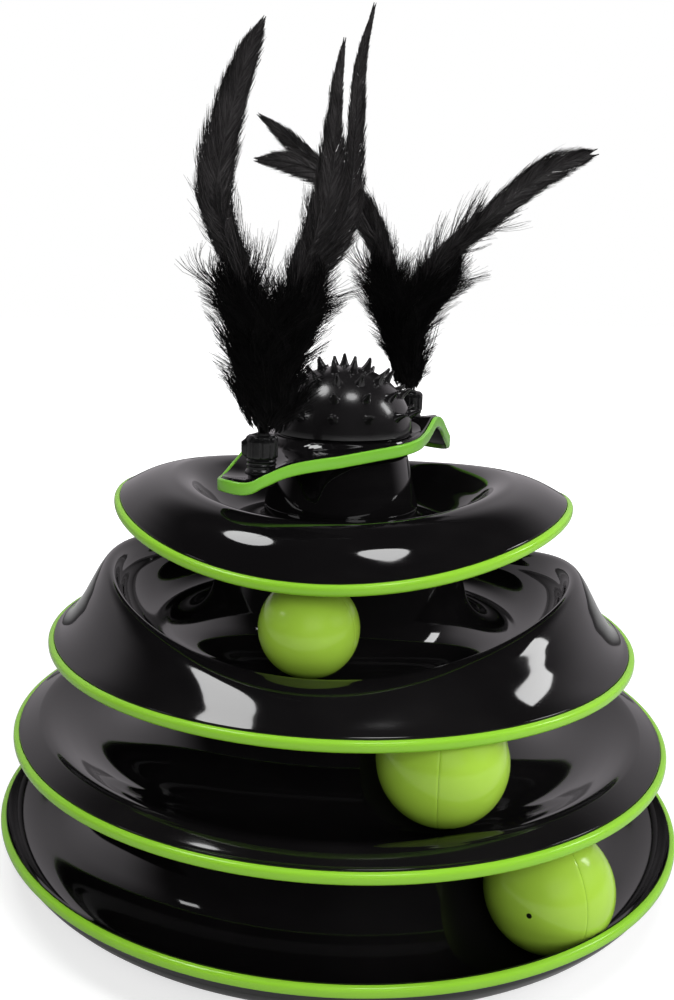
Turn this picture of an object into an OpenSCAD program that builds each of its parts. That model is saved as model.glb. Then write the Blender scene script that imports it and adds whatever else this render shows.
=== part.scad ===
// Cat ball track toy: four stacked round trays with lime edge bands, three captive balls,
// and a pedestal that carries a spiked dome over a turning wavy arm with two feather plumes.
// Millimetres, +Z up, origin on the tower's axis at the surface that the feet stand on.

/* [Trays] */
// Wall of every moulded tray
wall = 2.2; // [1.8:0.1:2.8]
// Height of the rubber feet
foot_h = 2.4; // [2:0.2:4]
// Distance of the base ball's path outside the middle ball's path
base_track_out = 17; // [15:0.5:20]
// Height of the base rim's lower edge above the base track's floor
base_rim_rise = 12.4; // [10:0.2:14]
// Room over the base ball under the middle tray's floor
base_head = 0.4; // [0.3:0.1:4]
// Room between the middle ball's side and the upper tray's rim
middle_track_in = 4.5; // [4:0.1:6]
// Width of the middle tray's outer wall from its trough to its crest
middle_wall_w = 2.7; // [2:0.1:5]
// Distance of the middle rim outside its crest
middle_rim_out = 10.2; // [8:0.2:13]
// Height of the middle rim's lower edge above the middle track's floor
middle_rim_rise = 0.1; // [-1:0.1:2]
// Height of the middle crest above the middle track's floor
middle_crest_rise = 7.3; // [5:0.2:9]
// Height by which the middle ball reaches up into the upper tray's skirt
middle_tuck = 3.7; // [2:0.1:4.2]
// Distance of the small ball's path outside the pedestal's foot
upper_track_out = 36.4; // [30:0.2:42]
// Width of the upper tray's outer wall from its trough to its crest
upper_wall_w = 4.7; // [3:0.1:7]
// Distance of the upper rim outside its crest
upper_rim_out = 23; // [20:0.5:27]
// Drop of the upper rim's lower edge below the upper track's floor
upper_rim_drop = 6.2; // [5:0.2:7]
// Height of the upper crest above its track at the front and back
upper_crest_low = 7.7; // [6:0.2:10]
// Height of the upper crest above its track at the sides
upper_crest_high = 24; // [20:0.5:27]
// Room over the small ball under the dish's floor
upper_head = 3.5; // [2:0.1:8]

/* [Top dish] */
// Distance of the dish's crest outside its flat
dish_crest_out = 25.2; // [21:0.2:29]
// Distance of the dish's rim outside its crest
dish_rim_out = 23.8; // [20:0.2:27]
// Mean height of the rim's lower edge above the dish's floor
dish_rim_rise = 0.9; // [0:0.1:2]
// Wave of the rim, up at the sides and down at the front and back
dish_rim_wave = 6.7; // [5:0.1:8]
// Mean height of the crest above the dish's floor
dish_crest_rise = 15.3; // [12:0.1:18]
// Wave of the crest
dish_crest_wave = 2.7; // [1.5:0.1:4]
// Direction of the waves' high side, in degrees
wave_turn = -10; // [-20:1:20]

/* [Edge bands] */
// Height of a tray's edge band
band_h = 3.8; // [3.4:0.1:4.6]
// Depth of a tray's edge band
band_d = 2.1; // [1.9:0.1:2.6]

/* [Balls] */
// Radius of the two large balls
ball_r = 21.2; // [20:0.1:21.3]
// Radius of the small ball
small_ball_r = 16.9; // [15.5:0.1:17.2]
// Wall of a ball's half shell
ball_wall = 1.4; // [1:0.1:2.4]
// Radius of a ball's vent hole
vent_r = 0.9; // [0.5:0.1:1.4]

/* [Pedestal] */
// Height of the dish's boss above the dish's floor
boss_h = 6.3; // [5:0.2:8]
// Radius of the pedestal at its top
pedestal_top_r = 24.5; // [20:0.1:29]
// Width that the pedestal gains towards its foot
pedestal_flare = 4.5; // [3:0.1:6]
// Height of the pedestal's top above the dish's highest crest
pedestal_rise = 7.9; // [6.5:0.1:10]
// Radius of the stem on which the arm turns
stem_r = 8; // [6:0.1:9.5]

/* [Dome] */
// Width by which the collar under the dome is smaller than the arm's hub
collar_in = 1.5; // [1:0.1:2.5]
// Height of the collar's plate
collar_h = 2.4; // [2:0.1:3.2]
// Width by which the dome is larger than the arm's hub
dome_out = 1.1; // [0.5:0.1:1.8]
// Height of the dome without its spikes
dome_h = 24.6; // [20:0.2:29]
// Wall of the dome
dome_wall = 2.6; // [2:0.1:3.4]
// Height of a spike
spike_h = 4.4; // [3:0.1:5.2]
// Radius of a spike at its foot
spike_foot_r = 1.75; // [1.2:0.05:2]
// Radius of a spike at its blunt tip
spike_tip_r = 0.5; // [0.3:0.05:0.8]

/* [Spinner arm] */
// Reach of the arm from the axis to the end of its front tip
front_reach = 64.6; // [56:0.2:74]
// Reach of the arm from the axis to the end of its rear tip
rear_reach = 70; // [60:0.5:76]
// Direction of the rear tip, in degrees
arm_turn = 52; // [40:1:70]
// Radius of the arm's rounded tips
arm_tip_r = 9.4; // [8:0.2:12]
// Width by which the arm's waist is larger than its hub
waist_out = 4.6; // [3:0.1:7]
// Thickness of the arm's plate
arm_thick = 3.2; // [2.6:0.1:3.6]
// Height of the arm's wave from the tips to its highest edge
arm_wave = 17; // [14:0.5:20]
// Width by which the arm's hub is larger than the pedestal's top
hub_out = 0.4; // [0.2:0.1:1]
// Height of the arm's hub
hub_h = 6.8; // [6:0.1:9]
// Height of the arm's edge band
arm_band_h = 5; // [4:0.1:6]
// Thickness of the arm's edge band
arm_band_t = 1.3; // [1:0.1:1.6]

/* [Plumes] */
// Distance of the front socket from its tip's end
front_socket_in = 11.6; // [10:0.2:14]
// Distance of the rear socket from its tip's end
rear_socket_in = 17; // [12:0.2:20]
// Height of a socket's ringed neck
neck_h = 4.3; // [3.5:0.1:7]
// Radius of a socket's neck
neck_r = 4.8; // [4.6:0.1:5]
// Width by which a clamp nut is larger than the neck
nut_out = 0.7; // [0.5:0.1:1.2]
// Height of a clamp nut
nut_h = 7.8; // [6.6:0.2:9]
// Radius of a ferrule that binds the quills
ferrule_r = 2.6; // [2.1:0.1:3.1]
// Height of a plume
plume_h = 130; // [110:1:132]
// Width of a long feather's vane
vane_w = 13; // [9:0.5:15]
// Thickness of a long feather's vane
vane_t = 1.2; // [0.8:0.1:1.6]
// Height of a plume's tuft of down
tuft_h = 62; // [50:1:80]
// Half width of a tuft at its widest
tuft_r = 18; // [14:0.5:19]

/* [Hidden] */
gloss_black = [0.05, 0.05, 0.055];
lime = [0.49, 0.76, 0.16];
steel = [0.7, 0.7, 0.72];
overrun = 1;

// Fine detail and fits
ball_play = 0.6;
ball_lift = 0.3;
edge_gap = 0.1;
tongue_h = 1.4;
tongue_reach = 1;
tongue_seat = 1.2;
band_round = 0.8;
round_share = 0.3;
lip_rise = 0.4;
hub_slope = 70;
upper_hub_slope = 75;
shoulder = 2.6;
shoulder_shares = [0.75, 0.3];
ledge_w = 9;
locator_w = 2.2;
locator_h = 4;
locator_gap = 0.3;
foot_ring_w = 2.5;
foot_land = 5;
land_blend = 1.4;
pad_r = 4.6;
pad_round = 0.6;
pad_count = 6;
tray_sides = 54;
arm_sides = 72;

// Heights of the stack, each from the piece that carries it
base_floor = foot_h + wall;
middle_seat = base_floor + 2 * ball_r + base_head;
middle_floor = middle_seat + wall;
upper_seat = middle_floor + 2 * ball_r - middle_tuck;
upper_floor = upper_seat + wall;
dish_seat = upper_floor + 2 * small_ball_r + upper_head;
dish_floor = dish_seat + wall;
boss_top = dish_floor + boss_h;
dish_crest_top = dish_floor + dish_crest_rise + dish_crest_wave;
pedestal_top = dish_crest_top + pedestal_rise;
washer_t = 0.6;
washer_gap = 0.1;
hub_z = pedestal_top + washer_t + 2 * washer_gap;
turn_gap = 0.3;
collar_z = hub_z + hub_h + turn_gap;
dome_seat = collar_z + collar_h;

// Radii from the pedestal outwards: the troughs follow the balls, and each tray the one above
trough_r = ball_r + ball_play;
upper_trough_r = small_ball_r + ball_play;
pedestal_foot_r = pedestal_top_r + pedestal_flare;
hub_r = pedestal_top_r + hub_out;
collar_r = hub_r - collar_in;
dome_r = hub_r + dome_out;
arm_waist_r = hub_r + waist_out;
upper_track_r = pedestal_foot_r + upper_track_out;
upper_crest_r = upper_track_r + upper_trough_r + upper_wall_w;
upper_rim_r = upper_crest_r + upper_rim_out;
// Share of the ball's radius that its side has, at the height of the upper tray's rim
ball_side_share = 0.78;
middle_track_r = upper_rim_r - ball_side_share * ball_r - middle_track_in;
middle_crest_r = middle_track_r + trough_r + middle_wall_w;
middle_rim_r = middle_crest_r + middle_rim_out;
base_track_r = middle_track_r + base_track_out;
base_edge_z = base_floor + base_rim_rise + band_h + lip_rise;
base_wall_turn = acos(1 - (base_edge_z - base_floor) / trough_r);
base_edge_r = base_track_r + trough_r * sin(base_wall_turn);
base_rim_r = base_edge_r + band_d + edge_gap;

// Outline shares: [share of the run outwards, share of the rise]
crest_shares = [[0.16, 0.03], [0.34, 0.17], [0.54, 0.44], [0.73, 0.74], [0.88, 0.94], [1, 1]];
lip_shares = [[0.18, 0.03], [0.42, 0.2], [0.66, 0.5], [0.86, 0.81], [1, 1]];
high_wall_turns = [14, 28, 43, 58, 72, 86];
high_wall_shares = [[0.19, 0.7], [0.53, 0.93], [1, 1]];
low_wall_shares = [0.035, 0.12, 0.28, 0.45, 0.58, 0.7, 0.78, 0.92, 1];
flare_shares = [[0.11, 0.04, 0.03], [0.24, 0.18, 0.09], [0.38, 0.38, 0.2],
    [0.54, 0.61, 0.37], [0.72, 0.82, 0.6], [0.88, 0.95, 0.83], [1, 1, 1]];

function point_on(from, to, share) = [from[0] + (to[0] - from[0]) * share[0],
    from[1] + (to[1] - from[1]) * share[1]];
function run(from, to, shares) = [for (s = shares) point_on(from, to, s)];
function blend(a, b, share) = a + (b - a) * share;
function eased(x) = let (t = max(0, min(1, x))) t * t * (3 - 2 * t);
function reversed(line) = [for (i = [len(line) - 1:-1:0]) line[i]];
// A line moved to its right-hand side by a wall's thickness
function shifted(line, t) = [for (i = [0:len(line) - 1])
    let (a = line[max(i - 1, 0)], b = line[min(i + 1, len(line) - 1)], d = b - a)
    line[i] + t * [d[1], -d[0]] / norm(d)];
// Points of a trough about its lowest point: angle 0 is the floor, below 0 is towards the hub
function trough(track, floor_z, r, t, a0, a1, steps) = [for (i = [0:steps])
    let (a = blend(a0, a1, i / steps))
    [track + (r + t) * sin(a), floor_z + r - (r + t) * cos(a)]];
function trough_angle(track, r, at) = asin((at - track) / (r + wall));

// The hub's side: a cone that leaves the trough at the hub's slope and ends in a shoulder
function cone_foot(track, floor_z, r, slope) = trough(track, floor_z, r, 0, -slope, 0, 1)[0];
function shoulder_r(track, floor_z, r, slope, seat) = let (p = cone_foot(track, floor_z, r, slope))
    p[0] - (seat - shoulder - p[1]) / tan(slope);
function ledge_r(track, floor_z, r, slope, seat) =
    shoulder_r(track, floor_z, r, slope, seat) - shoulder * (1 - sin(slope) / 2);
function hub_line(track, floor_z, r, slope, seat, locator_r) = let (
    s = shoulder_r(track, floor_z, r, slope, seat),
    l = ledge_r(track, floor_z, r, slope, seat))
    [[locator_r - locator_w, seat + locator_h],
    [locator_r, seat + locator_h],
    [locator_r, seat],
    [l, seat],
    [blend(l, s, shoulder_shares[0]), seat - shoulder * shoulder_shares[1]],
    [s, seat - shoulder]];
function hub_under(track, floor_z, r, slope, seat, locator_r) = let (
    s = shoulder_r(track, floor_z, r, slope, seat),
    l = ledge_r(track, floor_z, r, slope, seat))
    [[s - wall * sin(slope), seat - shoulder - wall * cos(slope) / 2],
    [l - wall / 2, seat - wall],
    [locator_r - locator_w, seat - wall]];

// A tray's foot ring fits round the locator below it, and stays under its own trough
function ring_r(locator_r, track, r, slope) = max(locator_r + locator_gap + foot_ring_w,
    track - (r + wall) * sin(slope) + foot_ring_w + locator_gap);
// The underside of a trough's inner side, with the foot ring that stands on the tray below
function under_line(track, floor_z, r, slope, ring_r) = let (
    seat = floor_z - wall,
    a1 = trough_angle(track, r, ring_r),
    a2 = trough_angle(track, r, ring_r - foot_ring_w))
    concat(trough(track, floor_z, r, wall, 0, a1, 2),
    [[ring_r, seat], [ring_r - foot_ring_w, seat]],
    trough(track, floor_z, r, wall, a2, -slope, 4));

// The edge of a tray: its end face and the tongue that the band grips
function edge_line(rim_r, low) = let (
    face = rim_r - band_d - edge_gap,
    tip = rim_r - tongue_reach - edge_gap)
    [[face, low + tongue_seat + tongue_h],
    [tip, low + tongue_seat + tongue_h],
    [tip, low + tongue_seat],
    [face, low + tongue_seat]];
function inside(line, limit) = [for (p = line) if (p[0] < limit) p];

// Rings of points joined into one closed skin: a full turn, or a run with two end faces
module skin(rings, turn = false) {
    n = len(rings);
    m = len(rings[0]);
    sides = [for (i = [0:turn ? n - 1 : n - 2], j = [0:m - 1])
        let (k = (j + 1) % m, o = (i + 1) % n) each
        [[i * m + j, o * m + k, i * m + k], [i * m + j, o * m + j, o * m + k]]];
    ends = turn ? [] : [[for (j = [0:m - 1]) j], [for (j = [m - 1:-1:0]) (n - 1) * m + j]];
    polyhedron(points = [for (ring = rings) each ring], faces = concat(sides, ends));
}
function turned(section, a) = [for (p = section) [p[0] * cos(a), p[0] * sin(a), p[1]]];
// The waves rise twice round the tower: 1 at the high sides, 0 or -1 at the low ones
function wave(a) = cos(2 * (a - wave_turn));
function high_share(a) = (1 + wave(a)) / 2;

// Base tray
base_locator_r = ledge_r(base_track_r, base_floor, trough_r, hub_slope, middle_seat) - ledge_w
    + locator_w;
module base_tray() {
    track = base_track_r;
    land_turn = land_blend * asin(foot_land / (trough_r + wall));
    end_turn = trough_angle(track, trough_r, base_edge_r);
    top = concat(
        hub_line(track, base_floor, trough_r, hub_slope, middle_seat, base_locator_r),
        trough(track, base_floor, trough_r, 0, -hub_slope, base_wall_turn, 14));
    under = concat(
        trough(track, base_floor, trough_r, wall, end_turn, land_turn, 5),
        [[track + foot_land, foot_h], [track - foot_land, foot_h]],
        trough(track, base_floor, trough_r, wall, -land_turn, -hub_slope, 5));
    color(gloss_black)
        rotate_extrude($fn = 120)
            polygon(concat(top, edge_line(base_rim_r, base_floor + base_rim_rise), under,
                hub_under(track, base_floor, trough_r, hub_slope, middle_seat, base_locator_r)));
}

// Middle tray
middle_ring_r = ring_r(base_locator_r, middle_track_r, trough_r, hub_slope);
middle_ledge_r = ledge_r(middle_track_r, middle_floor, trough_r, hub_slope, upper_seat);
middle_locator_r = middle_ledge_r - ledge_w + locator_w;
middle_low = middle_floor + middle_rim_rise;
module middle_tray() {
    crest = [middle_crest_r, middle_floor + middle_crest_rise];
    edge = [middle_rim_r - band_d - edge_gap, middle_low + band_h + lip_rise];
    outer = concat(run([middle_track_r, middle_floor], crest, crest_shares),
        run(crest, edge, lip_shares));
    top = concat(
        hub_line(middle_track_r, middle_floor, trough_r, hub_slope, upper_seat, middle_locator_r),
        trough(middle_track_r, middle_floor, trough_r, 0, -hub_slope, 0, 7),
        outer);
    under = inside(shifted(outer, wall), edge[0] - wall / 2);
    color(gloss_black)
        rotate_extrude($fn = 120)
            polygon(concat(top, edge_line(middle_rim_r, middle_low), reversed(under),
                under_line(middle_track_r, middle_floor, trough_r, hub_slope, middle_ring_r),
                hub_under(middle_track_r, middle_floor, trough_r, hub_slope, upper_seat,
                    middle_locator_r)));
}

// Upper tray, whose crest is high at the sides and low at the front and back
upper_ring_r = ring_r(middle_locator_r, upper_track_r, upper_trough_r, upper_hub_slope);
upper_locator_r = pedestal_foot_r - wall - locator_gap;
upper_low = upper_floor - upper_rim_drop;
// The high wall follows the ball's trough up to its side, and then leans out to the crest
high_wall = concat(
    [for (a = high_wall_turns)
        [upper_track_r + upper_trough_r * sin(a), upper_trough_r * (1 - cos(a))]],
    [for (s = high_wall_shares)
        [upper_track_r + upper_trough_r + upper_wall_w * s[0], upper_crest_high * s[1]]]);
function upper_outer(a) = let (
    edge = [upper_rim_r - band_d - edge_gap, upper_low + band_h + lip_rise],
    k = high_share(a),
    high = upper_floor + upper_crest_high,
    low = upper_floor + upper_crest_low)
    concat(
    [for (i = [0:len(high_wall) - 1])
        [high_wall[i][0],
        upper_floor + blend(upper_crest_low * low_wall_shares[i], high_wall[i][1], k)]],
    [for (s = flare_shares)
        [blend(upper_crest_r, edge[0], s[0]),
        blend(blend(low, edge[1], s[2]), blend(high, edge[1], s[1]), k)]]);
function upper_section(a) = let (
    outer = upper_outer(a),
    under = inside(shifted(outer, wall), upper_rim_r - band_d - wall / 2))
    concat(
    hub_line(upper_track_r, upper_floor, upper_trough_r, upper_hub_slope, dish_seat,
        upper_locator_r),
    trough(upper_track_r, upper_floor, upper_trough_r, 0, -upper_hub_slope, 0, 5),
    outer,
    edge_line(upper_rim_r, upper_low),
    reversed([for (i = [0:len(outer) - 2]) let (p = shifted(outer, wall)[i])
        [min(p[0], upper_rim_r - band_d - wall / 2), p[1]]]),
    under_line(upper_track_r, upper_floor, upper_trough_r, upper_hub_slope, upper_ring_r),
    hub_under(upper_track_r, upper_floor, upper_trough_r, upper_hub_slope, dish_seat,
        upper_locator_r));
module upper_tray() {
    color(gloss_black)
        skin([for (i = [0:tray_sides - 1]) turned(upper_section(360 * i / tray_sides),
            360 * i / tray_sides)], turn = true);
}

// Top dish, whose crest and rim both wave
dish_mean_low = dish_floor + dish_rim_rise;
dish_flat_w = 7.4;
dish_flat_r = pedestal_foot_r + dish_flat_w;
dish_crest_r = dish_flat_r + dish_crest_out;
dish_rim_r = dish_crest_r + dish_rim_out;
// The boss's side, down to the dish's flat: [share of the flat's width, share of the boss's height]
boss_shares = [[0.02, 0.45], [0.13, 0.18], [0.36, 0.02]];
dish_in_shares = [[0.2, 0.06], [0.42, 0.27], [0.62, 0.6], [0.8, 0.88], [1, 1]];
dish_out_shares = [[0.2, 0.03], [0.42, 0.15], [0.64, 0.38], [0.84, 0.7], [1, 1]];
boss_in_r = pedestal_foot_r - wall;
function dish_low(a) = dish_mean_low + dish_rim_wave * wave(a);
function dish_outer(a) = let (
    crest = [dish_crest_r, dish_floor + dish_crest_rise + dish_crest_wave * wave(a)],
    edge = [dish_rim_r - band_d - edge_gap, dish_low(a) + band_h + lip_rise])
    concat([[dish_flat_r, dish_floor]],
    run([dish_flat_r, dish_floor], crest, dish_in_shares), run(crest, edge, dish_out_shares));
function dish_section(a) = let (outer = dish_outer(a))
    concat(
    [[boss_in_r, boss_top], [pedestal_foot_r, boss_top]],
    [for (s = boss_shares) [pedestal_foot_r + dish_flat_w * s[0], dish_floor + boss_h * s[1]]],
    outer,
    edge_line(dish_rim_r, dish_low(a)),
    reversed([for (i = [0:len(outer) - 2]) let (p = shifted(outer, wall)[i])
        [min(p[0], dish_rim_r - band_d - wall / 2), max(p[1], dish_seat)]]),
    [[boss_in_r, dish_seat]]);
module top_dish() {
    color(gloss_black)
        skin([for (i = [0:tray_sides - 1]) turned(dish_section(360 * i / tray_sides),
            360 * i / tray_sides)], turn = true);
}

// Edge bands: a rounded strip with a groove for the tray's tongue
function band_section(rim_r, low) = let (
    inner = rim_r - band_d,
    groove_low = low + tongue_seat - edge_gap,
    groove_high = low + tongue_seat + tongue_h + edge_gap,
    groove_r = rim_r - tongue_reach,
    bevel = band_round * round_share)
    [[inner, low], [rim_r - band_round, low], [rim_r - bevel, low + bevel],
    [rim_r, low + band_round], [rim_r, low + band_h - band_round],
    [rim_r - bevel, low + band_h - bevel],
    [rim_r - band_round, low + band_h], [inner, low + band_h],
    [inner, groove_high], [groove_r, groove_high], [groove_r, groove_low], [inner, groove_low]];
module band(rim_r, low) {
    color(lime)
        rotate_extrude($fn = 120)
            polygon(band_section(rim_r, low));
}
module base_band() {
    band(base_rim_r, base_floor + base_rim_rise);
}
module middle_band() {
    band(middle_rim_r, middle_low);
}
module upper_band() {
    band(upper_rim_r, upper_low);
}
module dish_band() {
    color(lime)
        skin([for (i = [0:tray_sides - 1]) let (a = 360 * i / tray_sides)
            turned(reversed(band_section(dish_rim_r, dish_low(a))), a)], turn = true);
}

// Rubber feet under the base tray
module rubber_feet() {
    color([0.1, 0.1, 0.1])
        for (i = [0:pad_count - 1])
            rotate([0, 0, 360 * (i + 0.5) / pad_count])
                translate([base_track_r, 0, 0])
                    rotate_extrude($fn = 32)
                        polygon([[0, 0], [pad_r - pad_round, 0], [pad_r, pad_round],
                            [pad_r, foot_h], [0, foot_h]]);
}

// Pedestal: a tapered shell that stands on the dish's boss, with a tube for the screw
skirt_gap = 0.1;
skirt_w = 2;
skirt_h = 3.6;
plate_t = 2.4;
tube_r = 6;
tube_drop = 12;
screw_r = 1.5;
screw_gap = 0.3;
top_round = 1;
module pedestal() {
    skirt_r = boss_in_r - skirt_gap;
    color(gloss_black)
        rotate_extrude($fn = 96)
            polygon([[skirt_r - skirt_w, boss_top - skirt_h],
                [skirt_r, boss_top - skirt_h],
                [skirt_r, boss_top],
                [pedestal_foot_r, boss_top],
                [pedestal_top_r, pedestal_top - top_round],
                [pedestal_top_r - top_round, pedestal_top],
                [screw_r + screw_gap, pedestal_top],
                [screw_r + screw_gap, pedestal_top - tube_drop],
                [tube_r, pedestal_top - tube_drop],
                [tube_r, pedestal_top - plate_t],
                [pedestal_top_r - top_round - wall, pedestal_top - plate_t],
                [skirt_r - skirt_w, boss_top]]);
}

// Collar with its stem, which stands on the pedestal and carries the dome
pilot_gap = 0.05;
pilot_top = 1.4;
collar_round = 0.6;
module dome_collar() {
    pilot_r = screw_r + pilot_gap;
    pilot_end = collar_z + collar_h - pilot_top;
    color(gloss_black)
        rotate_extrude($fn = 96)
            polygon([[pilot_r, pedestal_top], [stem_r, pedestal_top], [stem_r, collar_z],
                [collar_r - collar_round, collar_z], [collar_r, collar_z + collar_round],
                [collar_r, dome_seat], [0, dome_seat], [0, pilot_end], [pilot_r, pilot_end]]);
}
screw_end_gap = 0.5;
head_r = 3;
head_h = 2.2;
screw_washer_r = 4.4;
screw_washer_t = 0.8;
drive_r = 1.1;
drive_h = 1.2;
module dome_screw() {
    seat = pedestal_top - tube_drop - screw_washer_t;
    shank = collar_z + collar_h - pilot_top - screw_end_gap - seat;
    color(steel)
        difference() {
            union() {
                translate([0, 0, seat]) cylinder(r = screw_r, h = shank, $fn = 32);
                translate([0, 0, seat - head_h]) cylinder(r = head_r, h = head_h, $fn = 32);
            }
            translate([0, 0, seat - head_h - overrun])
                cylinder(r = drive_r, h = drive_h + overrun, $fn = 32);
        }
}
module screw_washer() {
    color(steel)
        translate([0, 0, pedestal_top - tube_drop - screw_washer_t])
            difference() {
                cylinder(r = screw_washer_r, h = screw_washer_t, $fn = 32);
                translate([0, 0, -overrun])
                    cylinder(r = screw_r + screw_gap, h = screw_washer_t + 2 * overrun, $fn = 32);
            }
}
slip_washer_w = 5;
module slip_washer() {
    color([0.85, 0.85, 0.82])
        translate([0, 0, pedestal_top + washer_gap])
            difference() {
                cylinder(r = stem_r + slip_washer_w, h = washer_t, $fn = 64);
                translate([0, 0, -overrun])
                    cylinder(r = stem_r + screw_gap, h = washer_t + 2 * overrun, $fn = 64);
            }
}

// Dome with rings of blunt spikes
spike_ring_turns = [18, 35.5, 53, 70];
spike_ring_counts = [12, 12, 12, 8];
spike_first_turn = 18;
spike_root = 0.8;
dome_steps = 12;
dome_ledge = 1.5;
dome_gap = 0.05;
function dome_line(r, z, h) = [for (i = [0:dome_steps]) let (a = 90 * i / dome_steps)
    [r * cos(a), z + h * sin(a)]];
module spike() {
    translate([0, 0, -spike_root])
        cylinder(r1 = spike_foot_r, r2 = spike_tip_r, h = spike_h + spike_root, $fn = 16);
}
module spiked_dome() {
    color(gloss_black)
        union() {
            rotate_extrude($fn = 96)
                polygon(concat([[collar_r + dome_gap, dome_seat], [collar_r + dome_gap, collar_z]],
                    dome_line(dome_r, collar_z, dome_h),
                    reversed(dome_line(collar_r - dome_ledge, dome_seat,
                        dome_h - collar_h - dome_wall))));
            for (i = [0:len(spike_ring_turns) - 1])
                for (j = [0:spike_ring_counts[i] - 1])
                    rotate([0, 0, spike_first_turn + 360 * j / spike_ring_counts[i]])
                        translate([dome_r * cos(spike_ring_turns[i]), 0,
                            collar_z + dome_h * sin(spike_ring_turns[i])])
                            rotate([0, 90 - spike_ring_turns[i], 0]) spike();
            translate([0, 0, collar_z + dome_h]) spike();
        }
}

// Spinner arm. Its plan is a disc with a rounded tip at each end, joined by straight edges
run_gap = 0.05;
hub_wall = 2.2;
hub_floor = 2.4;
sleeve_w = 2.4;
sleeve_drop = 0.1;
lip_drop = 0.3;
hub_blend = 5;
band_tuck = 1;
// Height shares of the plate's wave: [share along the arm, right edge, centre line, left edge]
arm_shares = [[-1, 0.17, 0.18, 0.19], [-0.955, 0.225, 0.15, 0.16], [-0.92, 0.31, 0.12, 0.14],
    [-0.86, 0.45, 0.09, 0.14], [-0.8, 0.54, 0.1, 0.19], [-0.73, 0.56, 0.2, 0.26],
    [-0.64, 0.58, 0.33, 0.35], [-0.56, 0.59, 0.42, 0.42], [-0.47, 0.6, 0.51, 0.51],
    [-0.38, 0.62, 0.58, 0.59], [-0.2, 0.67, 0.66, 0.67], [0, 0.69, 0.69, 0.69],
    [0.14, 0.71, 0.71, 0.71], [0.26, 0.74, 0.73, 0.71], [0.36, 0.88, 0.76, 0.68],
    [0.46, 1, 0.78, 0.65], [0.56, 0.9, 0.74, 0.59], [0.66, 0.75, 0.66, 0.52],
    [0.74, 0.61, 0.57, 0.45], [0.83, 0.4, 0.39, 0.33], [0.91, 0.21, 0.24, 0.21],
    [1, 0.09, 0.11, 0.11]];
function arm_column(x, c) = lookup(x, [for (s = arm_shares) [s[0], s[c]]]);
function reach(u) = u > 0 ? rear_reach : front_reach;
function tip_centre(u) = reach(u) - arm_tip_r;
function taper(u) = asin((arm_waist_r - arm_tip_r) / tip_centre(u));
// Radius of the plan's outline at an angle from the arm's long axis, grown by a margin
function arm_edge(turn, grow) = let (
    c = tip_centre(cos(turn)),
    k = taper(cos(turn)),
    b = acos(abs(cos(turn))),
    waist = arm_waist_r + grow,
    tip = arm_tip_r + grow)
    b >= 90 - k ? waist :
    b >= atan2(tip * cos(k), c + tip * sin(k)) ? waist / cos(90 - k - b) :
    c * cos(b) + sqrt(max(0, tip * tip - pow(c * sin(b), 2)));
// Height of the plate's top at a point of the plan
function arm_wave_z(u, v) = let (
    x = u / reach(u),
    s = v * cos(taper(u)) / (arm_waist_r - abs(u) * sin(taper(u))),
    right = arm_column(x, 1),
    mid = arm_column(x, 2),
    left = arm_column(x, 3))
    dish_crest_top + arm_band_h - band_tuck + arm_wave * (mid + (left - right) / 2 * s
    + ((left + right) / 2 - mid) * s * s);
function arm_top(turn, r) = blend(hub_z + hub_h - lip_drop,
    arm_wave_z(r * cos(turn), r * sin(turn)), eased((r - hub_r - run_gap) / hub_blend));
function arm_point(turn, r, z) = [r * cos(turn + arm_turn), r * sin(turn + arm_turn), z];
// Angles round the plan, closer together near the tips
tip_crowding = 21;
function crowded(t) = t - tip_crowding * sin(2 * t);
arm_run_shares = [0, 0.12, 0.3, 0.6, 1];
function arm_section(turn) = let (
    start = hub_r - hub_wall / 2,
    end = arm_edge(turn, 0),
    rs = [for (s = arm_run_shares) blend(start, end, s)])
    concat([for (r = rs) arm_point(turn, r, arm_top(turn, r))],
    reversed([for (r = rs) arm_point(turn, r, arm_top(turn, r) - arm_thick)]));
// Pads that the sockets stand on, inside the tips' edges
flange_w = 0.8;
flange_in = 0.4;
pad_top_r = 4.6;
pad_rise = 0.5;
pad_depth = 4;
spot_gap = 0.2;
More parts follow.
